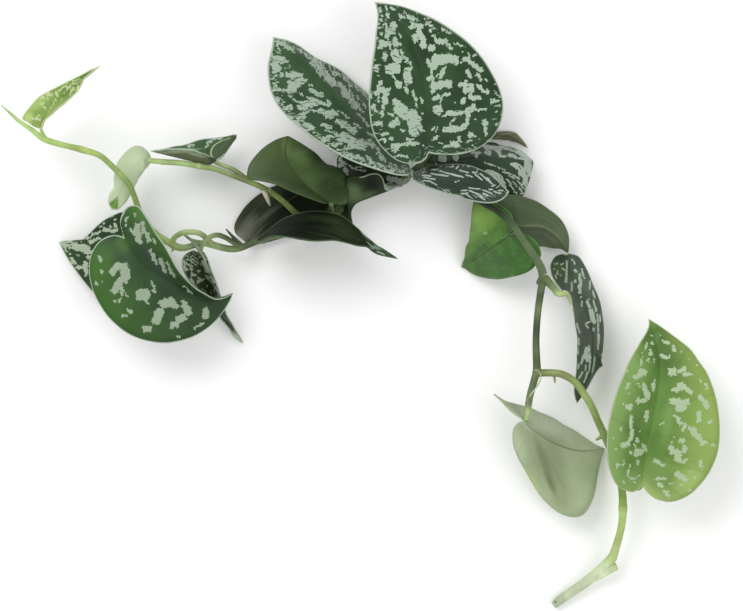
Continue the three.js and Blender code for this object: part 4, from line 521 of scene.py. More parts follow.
# soft-edged places of another green, in the same way: (x, y, half length, half width, turn,
# colour, share). Many are painted shade in creases and folds and painted shadow under stems and
# other leaves, a few are painted light and highlights, the rest are the leaves' own colour
softTonesAndShade = dict(
    # leaf_right_pale: the pale places are painted light on the smooth sheet, the dark wedge and the dark
    # lines along its crease are painted shade; the yellow-green strip by the margin is its own colour
    leaf_right_pale=[
        (113.6, -79.5, 15.4, 12.7, -60, (180, 192, 158), 0.6),
        (95.4, -65.2, 20.9, 7.2, -25, (184, 194, 168), 0.8),
        (98.7, -89.4, 27.5, 9.9, -65, (130, 142, 106), 0.9),
        (95.4, -86.6, 20.9, 3.3, -70, (104, 114, 82), 0.6),
        (98.5, -98.2, 9.9, 2.1, -67, (92, 102, 70), 0.6),
        (101.5, -91.6, 13.2, 1.3, -62, (120, 130, 98), 0.5),
        (103.7, -108.6, 8.2, 4.4, -38, (130, 142, 102), 0.5),
        (79.5, -75.1, 15.4, 6.1, -74, (182, 195, 158), 0.55),
        (88.3, -96, 13.2, 2.2, -58, (166, 186, 112), 0.6)],
    leaf_left_inner=[
        (-22.3, 64.6, 12.1, 8.2, -20, (34, 52, 20), 0.85), (-43.7, 65.7, 18.7, 5, -24, (50, 68, 34), 0.6),
        (-39.3, 81.7, 8.8, 5.5, -40, (96, 120, 66), 0.55), (-59.1, 81.1, 11, 6.6, 50, (86, 104, 64), 0.5),
        (-47, 87.2, 7.7, 3.9, -80, (104, 124, 74), 0.6)],
    # leaf_crown_under: the near-black place is a painted shadow cast by the crown over it
    leaf_crown_under=[
        (0.3, 67.9, 7.7, 6.6, -60, (8, 14, 5), 0.97), (-10.2, 61.9, 7.2, 6.6, 90, (92, 112, 76), 0.85),
        (-4.1, 60.2, 9.9, 2.8, 20, (84, 102, 68), 0.6)],
    # leaf_right_lit: the dark places are painted shadow of the stem lying over it, the small pale spot is a
    # painted highlight
    leaf_right_lit=[
        (61.3, 48.7, 9.4, 9.9, -80, (146, 190, 84), 0.9), (72.3, 22.8, 16.5, 7.7, -20, (44, 84, 30), 0.7),
        (72.3, 52, 14.3, 4.4, -50, (34, 66, 22), 0.85), (61.9, 32.2, 11, 1.9, 40, (34, 66, 26), 0.8),
        (77.3, 27.8, 5.5, 2.8, -60, (36, 70, 22), 0.8), (69, 37.1, 7.7, 4.4, 40, (110, 150, 66), 0.5),
        (62.7, 39.9, 1.7, 1.1, 0, (190, 214, 150), 0.8), (79.5, 32.7, 4.4, 8.8, 30, (52, 96, 36), 0.7)],
    leaf_left_back=[
        (-68.5, 42.6, 11, 5, 55, (118, 120, 106), 0.5), (-71.8, 37.7, 4.4, 2.8, -60, (134, 136, 122), 0.5),
        (-58, 49.8, 14.3, 1.7, 40, (104, 108, 92), 0.4), (-56.9, 59.7, 11, 5.5, 30, (60, 70, 52), 0.6)],
    # leaf_left_front: the near-black place is painted shade from the leaves lying over it
    leaf_left_front=[
        (-41, 42.6, 18.7, 5.5, -4, (12, 18, 9), 0.8), (-17.3, 42.6, 13.2, 4.4, -35, (44, 60, 32), 0.6),
        (-27.2, 47.6, 14.3, 2.2, -8, (54, 72, 40), 0.5)],
    leaf_end=[
        (163.1, -63, 16.5, 4.4, 82, (124, 154, 88), 0.5),
        (155.4, -90.5, 8.8, 14.3, 90, (124, 156, 88), 0.5),
        (174.1, -96, 12.1, 7.7, 40, (160, 186, 112), 0.5), (149.9, -25.6, 8.8, 3.3, 65, (92, 124, 62), 0.6),
        (156.5, -17.9, 6.6, 2.8, 60, (96, 134, 70), 0.5)],
    leaf_right_hanging=[
        (102, 20.6, 7.2, 5, -60, (70, 98, 46), 0.8), (121.3, -21.7, 16.5, 3.3, 84, (70, 78, 62), 0.6)],
    leaf_fold=[
        (-106.4, 85, 15.4, 1.4, 4, (150, 164, 130), 0.9),
        (-96.5, 83.3, 7.7, 1.3, -14, (150, 164, 130), 0.9)],
    leaf_tip_left=[
        (-179.6, 108.6, 18.7, 2.8, 40, (122, 154, 74), 0.6),
        (-188.9, 103.1, 5, 3.9, 60, (182, 202, 116), 0.8),
        (-184.5, 110.8, 7.7, 3.9, 40, (166, 192, 112), 0.7),
        (-158.1, 126.2, 11, 2.8, 35, (116, 146, 76), 0.6)],
    # leaf_low_left: the dark bluish-grey place is painted shade in the valley of its fold
    leaf_low_left=[
        (-117.4, 20.6, 22, 5, -55, (52, 66, 54), 0.7), (-132.8, 28.3, 7.2, 3.9, -50, (46, 72, 38), 0.5),
        (-137.2, 33.8, 7.2, 5, -70, (62, 102, 38), 0.7), (-147.1, 23.9, 14.3, 7.7, 70, (62, 104, 36), 0.6),
        (-127.3, 49.2, 7.2, 4.4, -60, (76, 116, 52), 0.5)],
    leaf_crown_right=[
        (70.7, 76.7, 17.6, 4.4, -12, (40, 62, 40), 0.7)],
    leaf_crown_front=[
        (28.9, 85.5, 18.7, 3.9, -80, (34, 52, 40), 0.7), (20.1, 135, 16.5, 3.3, -62, (50, 82, 44), 0.6)],
    leaf_crown_left=[
        (-17.3, 102, 22, 3.9, -52, (48, 80, 42), 0.7), (-6.3, 85.5, 11, 4.4, -60, (42, 58, 44), 0.6)],
)

# leaf colours, 0-255 on screen
finishes = {
    "dark": dict(green=(36, 62, 33), silver=(160, 178, 160), under=(78, 92, 62), rim=(166, 184, 162)),
    "grey": dict(green=(34, 48, 36), silver=(142, 158, 144), under=(66, 80, 58), rim=(160, 176, 154)),
    "young": dict(green=(132, 158, 78), silver=(188, 206, 150), under=(168, 188, 132),
                  rim=(192, 204, 158)),
    "end": dict(green=(83, 117, 50), silver=(166, 185, 149), under=(150, 170, 110), rim=(168, 182, 142)),
}

# a leaf's look goes before the values of its finish and of patches, topFinish and underFinish.
# cover: share of the blade that is silver where no patches are placed; size: those patches along
# and across a vein in mm; band: plain strip by the midrib in mm; flecks: cover, and reach from
# the margin in mm; breaks: share of the silver that thin green lines take; bright: green of the
# outer base; margin: width of the pale margin in mm; midrib: its colour underneath; plainRib and
# plainVeins: not sunk; wet: a shining, dented underside. Tones give a colour and where it starts
# and is full: sideTone by mm from the midrib, below 0 on the left half; baseTone, endTone and
# rimEnd by share of the length; rimTone by mm from the left margin, and the share where it ends.
# endSilver and streakEnd give where the underside turns silver and loses its streaks
looks = dict(
    leaf_crown_front=dict(finish="dark", green=(38, 64, 34), silver=(163, 180, 161), margin=1,
        flecks=(0.1, 5), breaks=0.05),
    leaf_crown_left=dict(finish="dark", green=(44, 70, 42), silver=(154, 170, 153), margin=1.4,
        flecks=(0.34, 6), breaks=0.16),
    leaf_crown_right=dict(finish="grey", green=(36, 54, 36), silver=(159, 173, 157), margin=0.7,
        patchShift=1.4, patchCell=0.45, breaks=0.07),
    leaf_crown_low=dict(finish="grey", green=(38, 55, 41), silver=(166, 180, 165), patchShift=0.7,
        patchCell=0.24, flecks=(0.12, 6)),
    leaf_crown_back=dict(finish="grey", cover=0.2, size=(6, 3), band=2, under=(104, 108, 80),
        rim=(150, 156, 124)),
    leaf_crown_hidden=dict(finish="grey", cover=0.6, size=(4, 2), band=1),
    leaf_crown_under=dict(finish="grey", green=(38, 52, 34), silver=(156, 170, 152), under=(42, 58, 32),
        rim=(150, 168, 140), patchShift=1.4, gloss=0.08, rimEnd=((44, 60, 34), 0.51, 0.56)),
    leaf_left_inner=dict(finish="dark", cover=0.4, size=(8, 4), band=3, under=(66, 86, 46),
        rim=(64, 84, 46), sideTone=((43, 63, 28), -4, -24), margin=0, baseTone=((48, 66, 34), 0.45, 0.08)),
    leaf_left_back=dict(finish="grey", cover=0.4, size=(8, 4), band=3, under=(42, 50, 34), streak=0.55,
        gloss=0.06, streakTone=(124, 126, 112), streakSize=(1.6, 40), rim=(64, 70, 58),
        endTone=((30, 38, 24), 0.5, 0.85), margin=0, streakEnd=(0.36, 0.56), plainRib=1,
        midrib=(84, 86, 74), veinTone=0, plainVeins=1, baseTone=((92, 94, 82), 0.44, 0.2)),
    # leaf_left_front's underside is given a colour far darker than its own green: painted shade from the
    # leaves lying over it
    leaf_left_front=dict(finish="dark", cover=0.45, size=(10, 3.4), band=0.6, under=(22, 30, 17),
        streak=0.3, streakSize=(2.2, 40), rim=(74, 92, 62), midrib=(112, 130, 100),
        endTone=((33, 44, 24), 0.4, 0.85), margin=0, gloss=0.06, endSilver=(0.8, 0.83), veinTone=0),
    leaf_fold=dict(finish="dark", under=(104, 114, 84), green=(50, 80, 46),
        baseTone=((66, 84, 56), 0.36, 0.27)),
    leaf_left_young=dict(finish="young", cover=0.1, size=(4, 2), band=1, under=(174, 190, 154),
        green=(98, 142, 56), rim=(190, 202, 172), endTone=((98, 138, 56), 0.84, 0.88),
        midrib=(170, 188, 150), plainRib=1, plainVeins=1, veinTone=0.12),
    leaf_tip_left=dict(finish="young", green=(132, 155, 86), endTone=((112, 141, 77), 0.4, 0.9)),
    leaf_low_left=dict(finish="dark", green=(43, 69, 37), silver=(149, 164, 140), bright=(61, 102, 35)),
    leaf_low_left_back=dict(finish="dark", green=(39, 63, 34), silver=(166, 180, 155)),
    leaf_low_small=dict(finish="grey", cover=0.42, size=(6, 2.2), band=1, green=(48, 62, 36),
        silver=(156, 170, 150), endTone=((112, 108, 86), 0.74, 0.95)),
    leaf_right_lit=dict(finish="dark", cover=0.3, size=(8, 4), band=2, under=(59, 102, 34),
        sideTone=((116, 162, 62), -2, -15), rim=(100, 136, 80), midrib=(26, 56, 18), wet=1, margin=0),
    leaf_right_olive=dict(finish="grey", cover=0.3, size=(8, 4), band=2, under=(76, 92, 62), streak=0.35,
        streakSize=(3, 40), midrib=(100, 114, 78), rim=(108, 122, 84), margin=0),
    leaf_right_hanging=dict(finish="grey", green=(53, 70, 50), silver=(154, 170, 150), rim=(150, 168, 138),
        patchShift=0.6, patchCell=0.35),
    leaf_right_pale=dict(finish="young", cover=0.1, size=(6, 3), band=2, under=(148, 162, 128),
        rim=(168, 180, 148), plainRib=1, veinTone=0.2),
    leaf_end=dict(finish="end", sideTone=((135, 160, 82), 4, 34), baseTone=((160, 183, 110), 0.34, 0.03),
        rimTone=((120, 152, 84), 17, 3, 0.84)),
)

bladeMaking = dict(
    stations=72, steps=12,  # ribs from base to tip, strips from midrib to margin
    stepCrowding=1.35,  # above 1 the strips crowd by the midrib
    ribSlant=1.7,  # above 1 the ribs leave the midrib nearer to the base
    lobeLength=0.09, widestAt=0.3,  # shares of the blade's length
    midribPoints=401, edgePoints=241, linePoints=801,  # how finely curves are read off
    viewHeight=3000,  # height from which the margins and patches are seen
    marginPull=1.6,  # how steeply the pull to the drawn margin fades inwards
    thickness=0.62,
    veins=8, veinDepth=0.07, veinWidth=0.25, veinStart=6, veinFade=8,
    midribDepth=0.3, midribWidth=1.2, midribFade=6,
    ripple=0.22, rippleWaves=9, rippleRise=3, fineRipple=(0.6, 1.7),  # fine: share of height and waves
    endFade=20,
    stretch=1.3)  # length of a margin for one of midrib
uvSpan = 100  # mm for one unit of the blades' UV maps

# a half blade's outline: (along, across) as shares of length and half width, below 0 the lobe
halfBlade = [(0, 0), (-0.5, 0.12), (-1, 0.36), (-0.62, 0.64), (0.05, 0.87), (0.19, 0.99), (0.35, 0.99),
             (0.51, 0.88), (0.66, 0.69), (0.79, 0.47), (0.89, 0.26), (0.955, 0.09), (1, 0)]


def edgePlaces(leaf, side, station):
    # flat outline of one half; lobes reach behind the base
    lobe = bladeMaking["lobeLength"] * leaf["lobe"][side]
    drawn = [(x * lobe if x < 0 else x, y) for x, y in halfBlade]
    return spline(drawn, station, False)


def plainPlaces(leaf, across, station):
    # across runs -1 (left margin) to 1 (right margin), station 0 (base) to 1 (tip)
    made = bladeMaking
    rib = spline(leaf["midrib"], np.linspace(0, 1, made["midribPoints"]), True)
    run = runAlong(rib)
    length = run[-1]
    shares = run / length
    tangents = unit(np.gradient(rib, axis=0))
    side = (across > 0).astype(int)
    pick = lambda name: np.array(leaf[name], float)[side]
    onLeft = side == 0
    halfWidth = pick("halfWidth")
    edge = np.where(onLeft[:, None], edgePlaces(leaf, 0, station), edgePlaces(leaf, 1, station))
    forward = pick("skew") * edge[:, 1] ** 2 * (1 - np.maximum(edge[:, 0], 0))
    edgeAlong = length * (edge[:, 0] + forward)
    rootAlong = length * station ** made["ribSlant"]
    beyond = np.maximum(edge[:, 0] - made["widestAt"], 0)
    width = halfWidth * (1 - pick("taper") * beyond) * edge[:, 1]
    part = np.abs(across)
    along = rootAlong + (edgeAlong - rootAlong) * part
    out = width * part
    share = np.clip(along / length, 0, 1)
    tangent = unit(alongTable(tangents, shares, share))
    up = spread(leaf["face"], share)
    up = unit(up - tangent * np.sum(up * tangent, -1, keepdims=True))
    left = np.cross(up, tangent)
    # each half is folded at the midrib and curls on in a circle
    fold = np.radians(np.where(onLeft, spread(leaf["fold"][0], share), spread(leaf["fold"][1], share)))
    turn = np.radians(pick("curl")) / halfWidth
    straight = np.abs(turn) < 1e-6
    safeTurn = np.where(straight, 1, turn)
    end = fold + turn * out
    reachOut = np.where(straight, out * np.cos(fold), (np.sin(end) - np.sin(fold)) / safeTurn)
    rise = np.where(straight, out * np.sin(fold), (np.cos(fold) - np.cos(end)) / safeTurn)
    place = alongTable(rib, shares, share) + tangent * np.minimum(along, 0)[:, None]
    place += left * np.where(onLeft, reachOut, -reachOut)[:, None] + up * rise[:, None]
    flat = np.stack([np.sign(across) * out, along], -1)
    ribRun = np.hypot(width, edgeAlong - rootAlong)
    return place, flat, ribRun * part, length


def viewShare(place):
    return 1 - place[:, 2:] / bladeMaking["viewHeight"]


def bladePlaces(leaf, across, station):
    # the plain blade, its margins then drawn to the left and right lines
    place, flat, ribOut, length = plainPlaces(leaf, across, station)
    stops = np.linspace(0, 1, bladeMaking["edgePoints"])
    stations = np.linspace(0, 1, bladeMaking["linePoints"])
    for name, sign in (("left", -1.0), ("right", 1.0)):
        if name not in leaf:
            continue
        plain = plainPlaces(leaf, np.full(len(stops), sign), stops)[0]
        seen = plain[:, :2] / viewShare(plain)
        target = spline([seen[0], *leaf[name], seen[-1]], stations, False)
        seenRun, targetRun = runAlong(seen), runAlong(target)
        drawn = alongTable(target, targetRun / targetRun[-1], seenRun / seenRun[-1])
        shift = (drawn - seen) * viewShare(plain)
        half = across * sign > 0
        pull = np.abs(across[half]) ** bladeMaking["marginPull"]
        place[half, :2] += alongTable(shift, stops, station[half]) * pull[:, None]
    return place, flat, ribOut, length


def reliefHeights(look, across, station, flat, ribOut, seed):
    # sunk veins and midrib, and a faint ripple that grows towards the margin
    made = bladeMaking
    outward = np.abs(across)
    ramp = np.clip(ribOut / made["veinStart"], 0, 1) * np.clip(made["veinFade"] * (1 - outward), 0, 1)
    between = 1 - np.abs((station * made["veins"]) % 1 - 0.5) * 2
    depth = np.exp(-(between / made["veinWidth"]) ** 2) * ramp
    depth *= 0 if "plainVeins" in look else made["veinDepth"]
    groove = np.exp(-(flat[:, 0] / made["midribWidth"]) ** 2)
    groove *= 0 if "plainRib" in look else made["midribDepth"]
    depth += groove * np.clip(made["midribFade"] * (1 - station), 0, 1)
    phase = np.random.default_rng(seed).uniform(0, 2 * math.pi, 2)
    fineHeight, fineWaves = made["fineRipple"]
    turns = made["rippleWaves"] * station * math.pi
    wave = np.sin(turns + phase[0] + across) + fineHeight * np.sin(fineWaves * turns + phase[1])
    ripple = made["ripple"] * wave * outward ** made["rippleRise"] * np.sin(math.pi * station)
    ends = np.clip(made["endFade"] * station, 0, 1) * np.clip(made["endFade"] * (1 - station), 0, 1)
    return (ripple - depth) * ends


def makeBlade(name, leaf, seed):
    made = bladeMaking
    deselectAll()
    bpy.ops.mesh.primitive_grid_add(
        x_subdivisions=2 * made["steps"], y_subdivisions=made["stations"], size=2)
    blade = bpy.context.object
    blade.name = name + "_blade"
    mesh = blade.data
    mesh.name = blade.name
    flatGrid = getPlaces(mesh)
    across = np.sign(flatGrid[:, 0]) * np.abs(flatGrid[:, 0]) ** made["stepCrowding"]
    station = (flatGrid[:, 1] + 1) / 2
    place, flat, ribOut, length = bladePlaces(leaf, across, station)
    columns, rows = 2 * made["steps"] + 1, made["stations"] + 1
    grid = place.reshape(rows, columns, 3)
    normal = unit(np.cross(np.gradient(grid, axis=1), np.gradient(grid, axis=0))).reshape(-1, 3)
    relief = reliefHeights(looks[name], across, station, flat, ribOut, seed)
    place = place + np.nan_to_num(normal) * relief[:, None]
    # distance to the margin in the flat blade; the outermost strips end on it
    marginFlat = flat[np.abs(across) > 1 - 1e-3]
    rim = np.min(np.linalg.norm(flat[:, None] - marginFlat[None], axis=-1), axis=1)
    mesh.vertices.foreach_set("co", ((place - middle) * mm).ravel())
    setFloats(mesh, "rim", rim)
    setFloats(mesh, "rib", ribOut)
    setFloats(mesh, "station", station)
    corners = np.zeros(len(mesh.loops), int)
    mesh.loops.foreach_get("vertex_index", corners)
    # one map follows the veins, the other one is the view from above
    veins = np.stack([np.sign(across) * ribOut, station * length * made["stretch"]], -1) / uvSpan + 0.5
    mesh.uv_layers[0].name = "veins"
    mesh.uv_layers[0].data.foreach_set("uv", veins[corners].ravel())
    above = place[:, :2] / viewShare(place) / uvSpan
    mesh.uv_layers.new(name="above").data.foreach_set("uv", above[corners].ravel())
    bpy.ops.object.mode_set(mode="EDIT")
    bpy.ops.mesh.select_all(action="SELECT")
    bpy.ops.mesh.remove_doubles(threshold=1e-6)
    bpy.ops.object.mode_set(mode="OBJECT")
    bpy.ops.object.shade_smooth()
    for material in leafMaterials(name, seed):
        mesh.materials.append(material)
    wall = blade.modifiers.new("wall", "SOLIDIFY")
    wall.thickness = made["thickness"] * mm
    wall.offset = 0
    wall.material_offset = 1
    wall.material_offset_rim = 2
    bpy.ops.object.modifier_apply(modifier="wall")
    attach(blade, "root")
    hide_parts(name)
    return blade


class Nodes:
    # a short way to place shader nodes and join them
    def __init__(self, name):
        self.material = bpy.data.materials.new(name)
        self.material.use_nodes = True
        self.tree = self.material.node_tree
        self.shader = self.tree.nodes["Principled BSDF"]

    def add(self, kind, inputs=None, **settings):
        node = self.tree.nodes.new("ShaderNode" + kind)
        for key, value in settings.items():
            setattr(node, key, value)
        for key, value in (inputs or {}).items():
            self.put(node.inputs[key], value)
        return node

    def put(self, socket, value):
        if hasattr(value, "is_output"):
            self.tree.links.new(value, socket)
        else:
            socket.default_value = value

    def math(self, operation, a, b):
        return self.add("Math", {0: a, 1: b}, operation=operation).outputs[0]

    def times(self, a, b):
        return self.math("MULTIPLY", a, b)

    def less(self, a, b):
        return self.math("SUBTRACT", a, b)

    def vector(self, operation, *inputs):
        return self.add("VectorMath", dict(enumerate(inputs)), operation=operation).outputs[0]

    def scaled(self, vector, share):
        return self.add("VectorMath", {0: vector, "Scale": share}, operation="SCALE").outputs[0]

    def mix(self, share, a, b):
        return self.add("Mix", {0: share, 6: a, 7: b}, data_type="RGBA").outputs[2]

    def step(self, value, low, high, toLow=0, toHigh=1):
        return self.add("MapRange", {0: value, 1: low, 2: high, 3: toLow, 4: toHigh},
                        interpolation_type="SMOOTHSTEP").outputs[0]

    def attribute(self, name, output="Fac"):
        return self.add("Attribute", attribute_name=name).outputs[output]

    def map(self, name):
        return self.add("UVMap", uv_map=name).outputs[0]

    def place(self):
        return self.add("TexCoord").outputs["Object"]

    def mapping(self, vector, **inputs):
        return self.add("Mapping", {"Vector": vector, **inputs}).outputs[0]

    def cells(self, vector):
        # the middle of the small cell that each place falls in
        node = self.add("TexVoronoi", {"Vector": vector, "Scale": 1}, voronoi_dimensions="2D")
        return node.outputs["Position"]

    def noise(self, vector, scale, detail, roughness, distortion=0, output=0):
        return self.add("TexNoise", {
            "Vector": vector, "Scale": scale, "Detail": detail, "Roughness": roughness,
            "Distortion": distortion}).outputs[output]

    def finish(self, colour, roughness, height, bump, specular):
        # bump: strength, and distance in mm
        self.put(self.shader.inputs["Base Color"], colour)
        self.put(self.shader.inputs["Roughness"], roughness)
        self.put(self.shader.inputs["Specular IOR Level"], specular)
        relief = self.add("Bump", {"Strength": bump[0], "Distance": bump[1] * mm, "Height": height})
        self.put(self.shader.inputs["Normal"], relief.outputs[0])
        return self.material


# here and below noises are (scale, detail, roughness), edges and lines say where a share starts
# and is full, and then its values there if they aren't 0 and 1
patches = dict(
    # placed patches: small cells and how far they shift in mm, and where an ellipse ends
    patchCell=0.75, patchShift=2.6, shiftNoise=2.4, placedEdge=(0.95, 0.85),
    groupSize=12,  # patches in a group, which keeps the shader's working memory small
    # scattered patches: cells in mm, the finer noise and where the large one takes over by mm
    # from the margin, and edges by noise, midrib and margin
    cell=(1.5, 0.95), fineShare=0.42, largeNoise=(1, 2, 0.5, 0.2), fineNoise=(1, 1, 0.5),
    largeEdge=(2.5, 9, 0.15, 0.8), coverSpread=0.105, scatterEdge=(-0.004, 0.006),
    jitter=3, bandEdge=(1.4, 1.7), rimEdge=(2.3, 2.6),
    fleckSize=(3.4, 1.3), breakSize=(5, 0.9), fleckEdge=0.02,
    # soft tones, and the tone of the left margin
    softEdge=(1.1, 0.2), rimToneSide=(-2, -12), rimToneFade=0.15)
seedShift = (3.37, 1.91, 0.73)  # how far apart the patterns of two seeds lie
seedSteps = dict(small=7, flecks=5, breaks=9, tip=3)


def tone(colour, share):
    return tuple(min(v * share, 1) for v in colour[:3]) + (1,)


def veinVector(nodes, size, seed, vector=None):
    # places on the blade counted in patches of that size, along and across the veins
    scale = (uvSpan / size[0], uvSpan / size[1], 0)
    shift = tuple(seed * step for step in seedShift)
    return nodes.mapping(nodes.map("veins") if vector is None else vector, Scale=scale, Location=shift)


def signedRib(nodes):
    # distance from the midrib in mm, negative on the left half
    across = nodes.add("SeparateXYZ", {"Vector": nodes.map("veins")}).outputs[0]
    return nodes.times(nodes.less(across, 0.5), uvSpan)


def veinLine(nodes, station, edge, share):
    # full on a side vein, 0 at the edge beside it
    beside = nodes.math("PINGPONG", nodes.times(station, bladeMaking["veins"]), 0.5)
    return nodes.step(beside, edge, 0, 0, share)


def levelFor(cover):
    # the noise value that this share of the blade lies above
    return 0.5 + patches["coverSpread"] * NormalDist().inv_cdf(1 - cover)


def patchGap(nodes, where, blunt, x, y, length, width, turn=0):
    # 0 in the middle of the placed ellipse, 1 on its edge; blunt squares it off
    patch = nodes.add("Mapping", {
        "Vector": where, "Location": (x / uvSpan, y / uvSpan, 0), "Rotation": (0, 0, math.radians(turn)),
        "Scale": (length / uvSpan, width / uvSpan, uvSpan)}, vector_type="TEXTURE").outputs[0]
    if blunt:
        patch = nodes.vector("MULTIPLY", patch, patch)
    return nodes.add("VectorMath", {0: patch}, operation="LENGTH").outputs["Value"]


def leafTones(nodes, base, look, name):
    # broad changes of colour over the blade, with painted shade and painted highlights among the soft tones
    station = nodes.attribute("station")
    for key in ("sideTone", "baseTone", "rimTone", "endTone"):
        if key not in look:
            continue
        colour, start, full, *end = look[key]
        if key == "sideTone":
            share = nodes.step(signedRib(nodes), start, full)
        elif key == "rimTone":
            onLeft = nodes.step(signedRib(nodes), *patches["rimToneSide"])
            early = nodes.step(station, end[0], end[0] - patches["rimToneFade"])
            share = nodes.step(nodes.attribute("rim"), start, full)
            share = nodes.times(nodes.times(share, onLeft), early)
        else:
            share = nodes.step(station, start, full)
        base = nodes.mix(share, base, linear(colour))
    # soft tones: the leaf's own colour in some places, painted shade and painted highlights in others
    for *place, colour, share in softTonesAndShade.get(name, []):
        gap = patchGap(nodes, nodes.map("above"), False, *place)
        base = nodes.mix(nodes.step(gap, *patches["softEdge"], 0, share), base, linear(colour))
    return base


def drawnSilver(nodes, look, placed):
    # 1 inside the placed patches; small cells and a slight shift make their edges ragged
    cell = look["patchCell"] / uvSpan
    cells = nodes.cells(nodes.mapping(nodes.map("above"), Scale=(1 / cell, 1 / cell, 1)))
    back = nodes.mapping(cells, Scale=(cell, cell, 1))
    drift = nodes.noise(back, uvSpan / look["shiftNoise"], 1, 0.5, output="Color")
    drift = nodes.vector("SUBTRACT", drift, (0.5, 0.5, 0.5))
    where = nodes.vector("ADD", back, nodes.scaled(drift, look["patchShift"] / uvSpan))
    field = None
    for i, patch in enumerate(placed):
        if i % look["groupSize"] == 0 and field is not None:
            # a trace of the field makes each group wait for the one before
            where = nodes.vector("MULTIPLY_ADD", field, (1e-9, 1e-9, 0), where)
        gap = patchGap(nodes, where, True, *patch)
        field = gap if field is None else nodes.math("MINIMUM", field, gap)
    return nodes.step(field, *look["placedEdge"])


def scatteredSilver(nodes, look, seed, rib, rim):
    # 1 in patches drawn out along the veins; their edges are stepped, as they follow small cells
    cell = look["cell"]
    cells = nodes.cells(veinVector(nodes, cell, seed))
    where = nodes.mapping(cells, Scale=(cell[0] / uvSpan, cell[1] / uvSpan, 1))
    fineSize = [length * look["fineShare"] for length in look["size"]]
    large = nodes.noise(veinVector(nodes, look["size"], seed, where), *look["largeNoise"])
    small = nodes.noise(veinVector(nodes, fineSize, seed + seedSteps["small"], where), *look["fineNoise"])
    inside = nodes.step(rim, *look["largeEdge"])
    field = nodes.math("ADD", nodes.times(large, inside), nodes.times(small, nodes.less(1, inside)))
    level, jitter = levelFor(look["cover"]), nodes.times(small, look["jitter"])
    silver = nodes.step(field, *(level + edge for edge in look["scatterEdge"]))
    bandEdge = [look["band"] + edge for edge in look["bandEdge"]]
    silver = nodes.times(silver, nodes.step(nodes.math("ADD", rib, jitter), *bandEdge))
    return nodes.times(silver, nodes.step(nodes.math("ADD", rim, jitter), *look["rimEdge"]))


def flecks(nodes, size, seed, cover):
    # 1 in small flecks drawn out along the veins
    level = levelFor(cover)
    fleck = nodes.noise(veinVector(nodes, size, seed), *patches["fineNoise"])
    return nodes.step(fleck, level, level + patches["fleckEdge"])


def marginColour(nodes, look, pale):
    # the colour along the margin, another one towards the tip where the look says so
    if "rimEnd" not in look:
        return pale
    colour, start, full = look["rimEnd"]
    return nodes.mix(nodes.step(nodes.attribute("station"), start, full), pale, linear(colour))


topFinish = dict(
    cloud=(42, 3, 0.6), cloudEdge=(0.3, 0.7), greens=(0.72, 1.28),
    grain=(1500, 2, 0.6), grainEdge=(0.35, 0.65), silvers=(0.94, 1.03),
    dulled=(0.35, 0.65, 0, 0.2), dullShade=0.7,
    brightOut=(4, 28), brightAlong=(0.85, 0.1),
    veinLine=(0.07, 0.14), veinShade=0.6,
    margin=0.62, marginFull=0.3, roughness=(0.48, 0.56), heights=(0.35, 0.3),
    bump=(0.3, 0.12), specular=0.22)


def silverMaterial(name, look, seed):
    # the satin top side: green with silver patches and a pale margin
    look = {**patches, **topFinish, **look}
    nodes = Nodes(name + "_top")
    rib, rim, station = nodes.attribute("rib"), nodes.attribute("rim"), nodes.attribute("station")
    if name in drawnPatches:
        silver = drawnSilver(nodes, look, drawnPatches[name])
    else:
        silver = scatteredSilver(nodes, look, seed, rib, rim)
    if "flecks" in look:
        cover, reach = look["flecks"]
        fleck = flecks(nodes, look["fleckSize"], seed + seedSteps["flecks"], cover)
        near = nodes.step(rim, reach + 1, reach - 1)
        silver = nodes.math("MAXIMUM", silver, nodes.times(fleck, near))
    if "breaks" in look:
        broken = flecks(nodes, look["breakSize"], seed + seedSteps["breaks"], look["breaks"])
        silver = nodes.times(silver, nodes.less(1, broken))
    place = nodes.place()
    cloud, grain = nodes.noise(place, *look["cloud"]), nodes.noise(place, *look["grain"])
    green, pale = linear(look["green"]), linear(look["silver"])
    base = nodes.mix(nodes.step(cloud, *look["cloudEdge"]), *(tone(green, v) for v in look["greens"]))
    if "bright" in look:
        outward = nodes.step(rib, *look["brightOut"])
        nearBase = nodes.step(station, *look["brightAlong"])
        base = nodes.mix(nodes.times(outward, nearBase), base, linear(look["bright"]))
    base = leafTones(nodes, base, look, name)
    base = nodes.mix(veinLine(nodes, station, *look["veinLine"]), base, tone(green, look["veinShade"]))
    silverTone = nodes.mix(nodes.step(grain, *look["grainEdge"]), *(tone(pale, v) for v in look["silvers"]))
    silverTone = nodes.mix(nodes.step(cloud, *look["dulled"]), silverTone, tone(pale, look["dullShade"]))
    colour = nodes.mix(silver, base, silverTone)
    margin = marginColour(nodes, look, linear(look["rim"]))
    colour = nodes.mix(nodes.step(rim, look["margin"], look["marginFull"]), colour, margin)
    grainShare, silverShare = look["heights"]
    height = nodes.math("ADD", nodes.times(grain, grainShare), nodes.times(silver, silverShare))
    rough = nodes.step(silver, 0, 1, *look["roughness"])
    return nodes.finish(colour, rough, height, look["bump"], look["specular"])


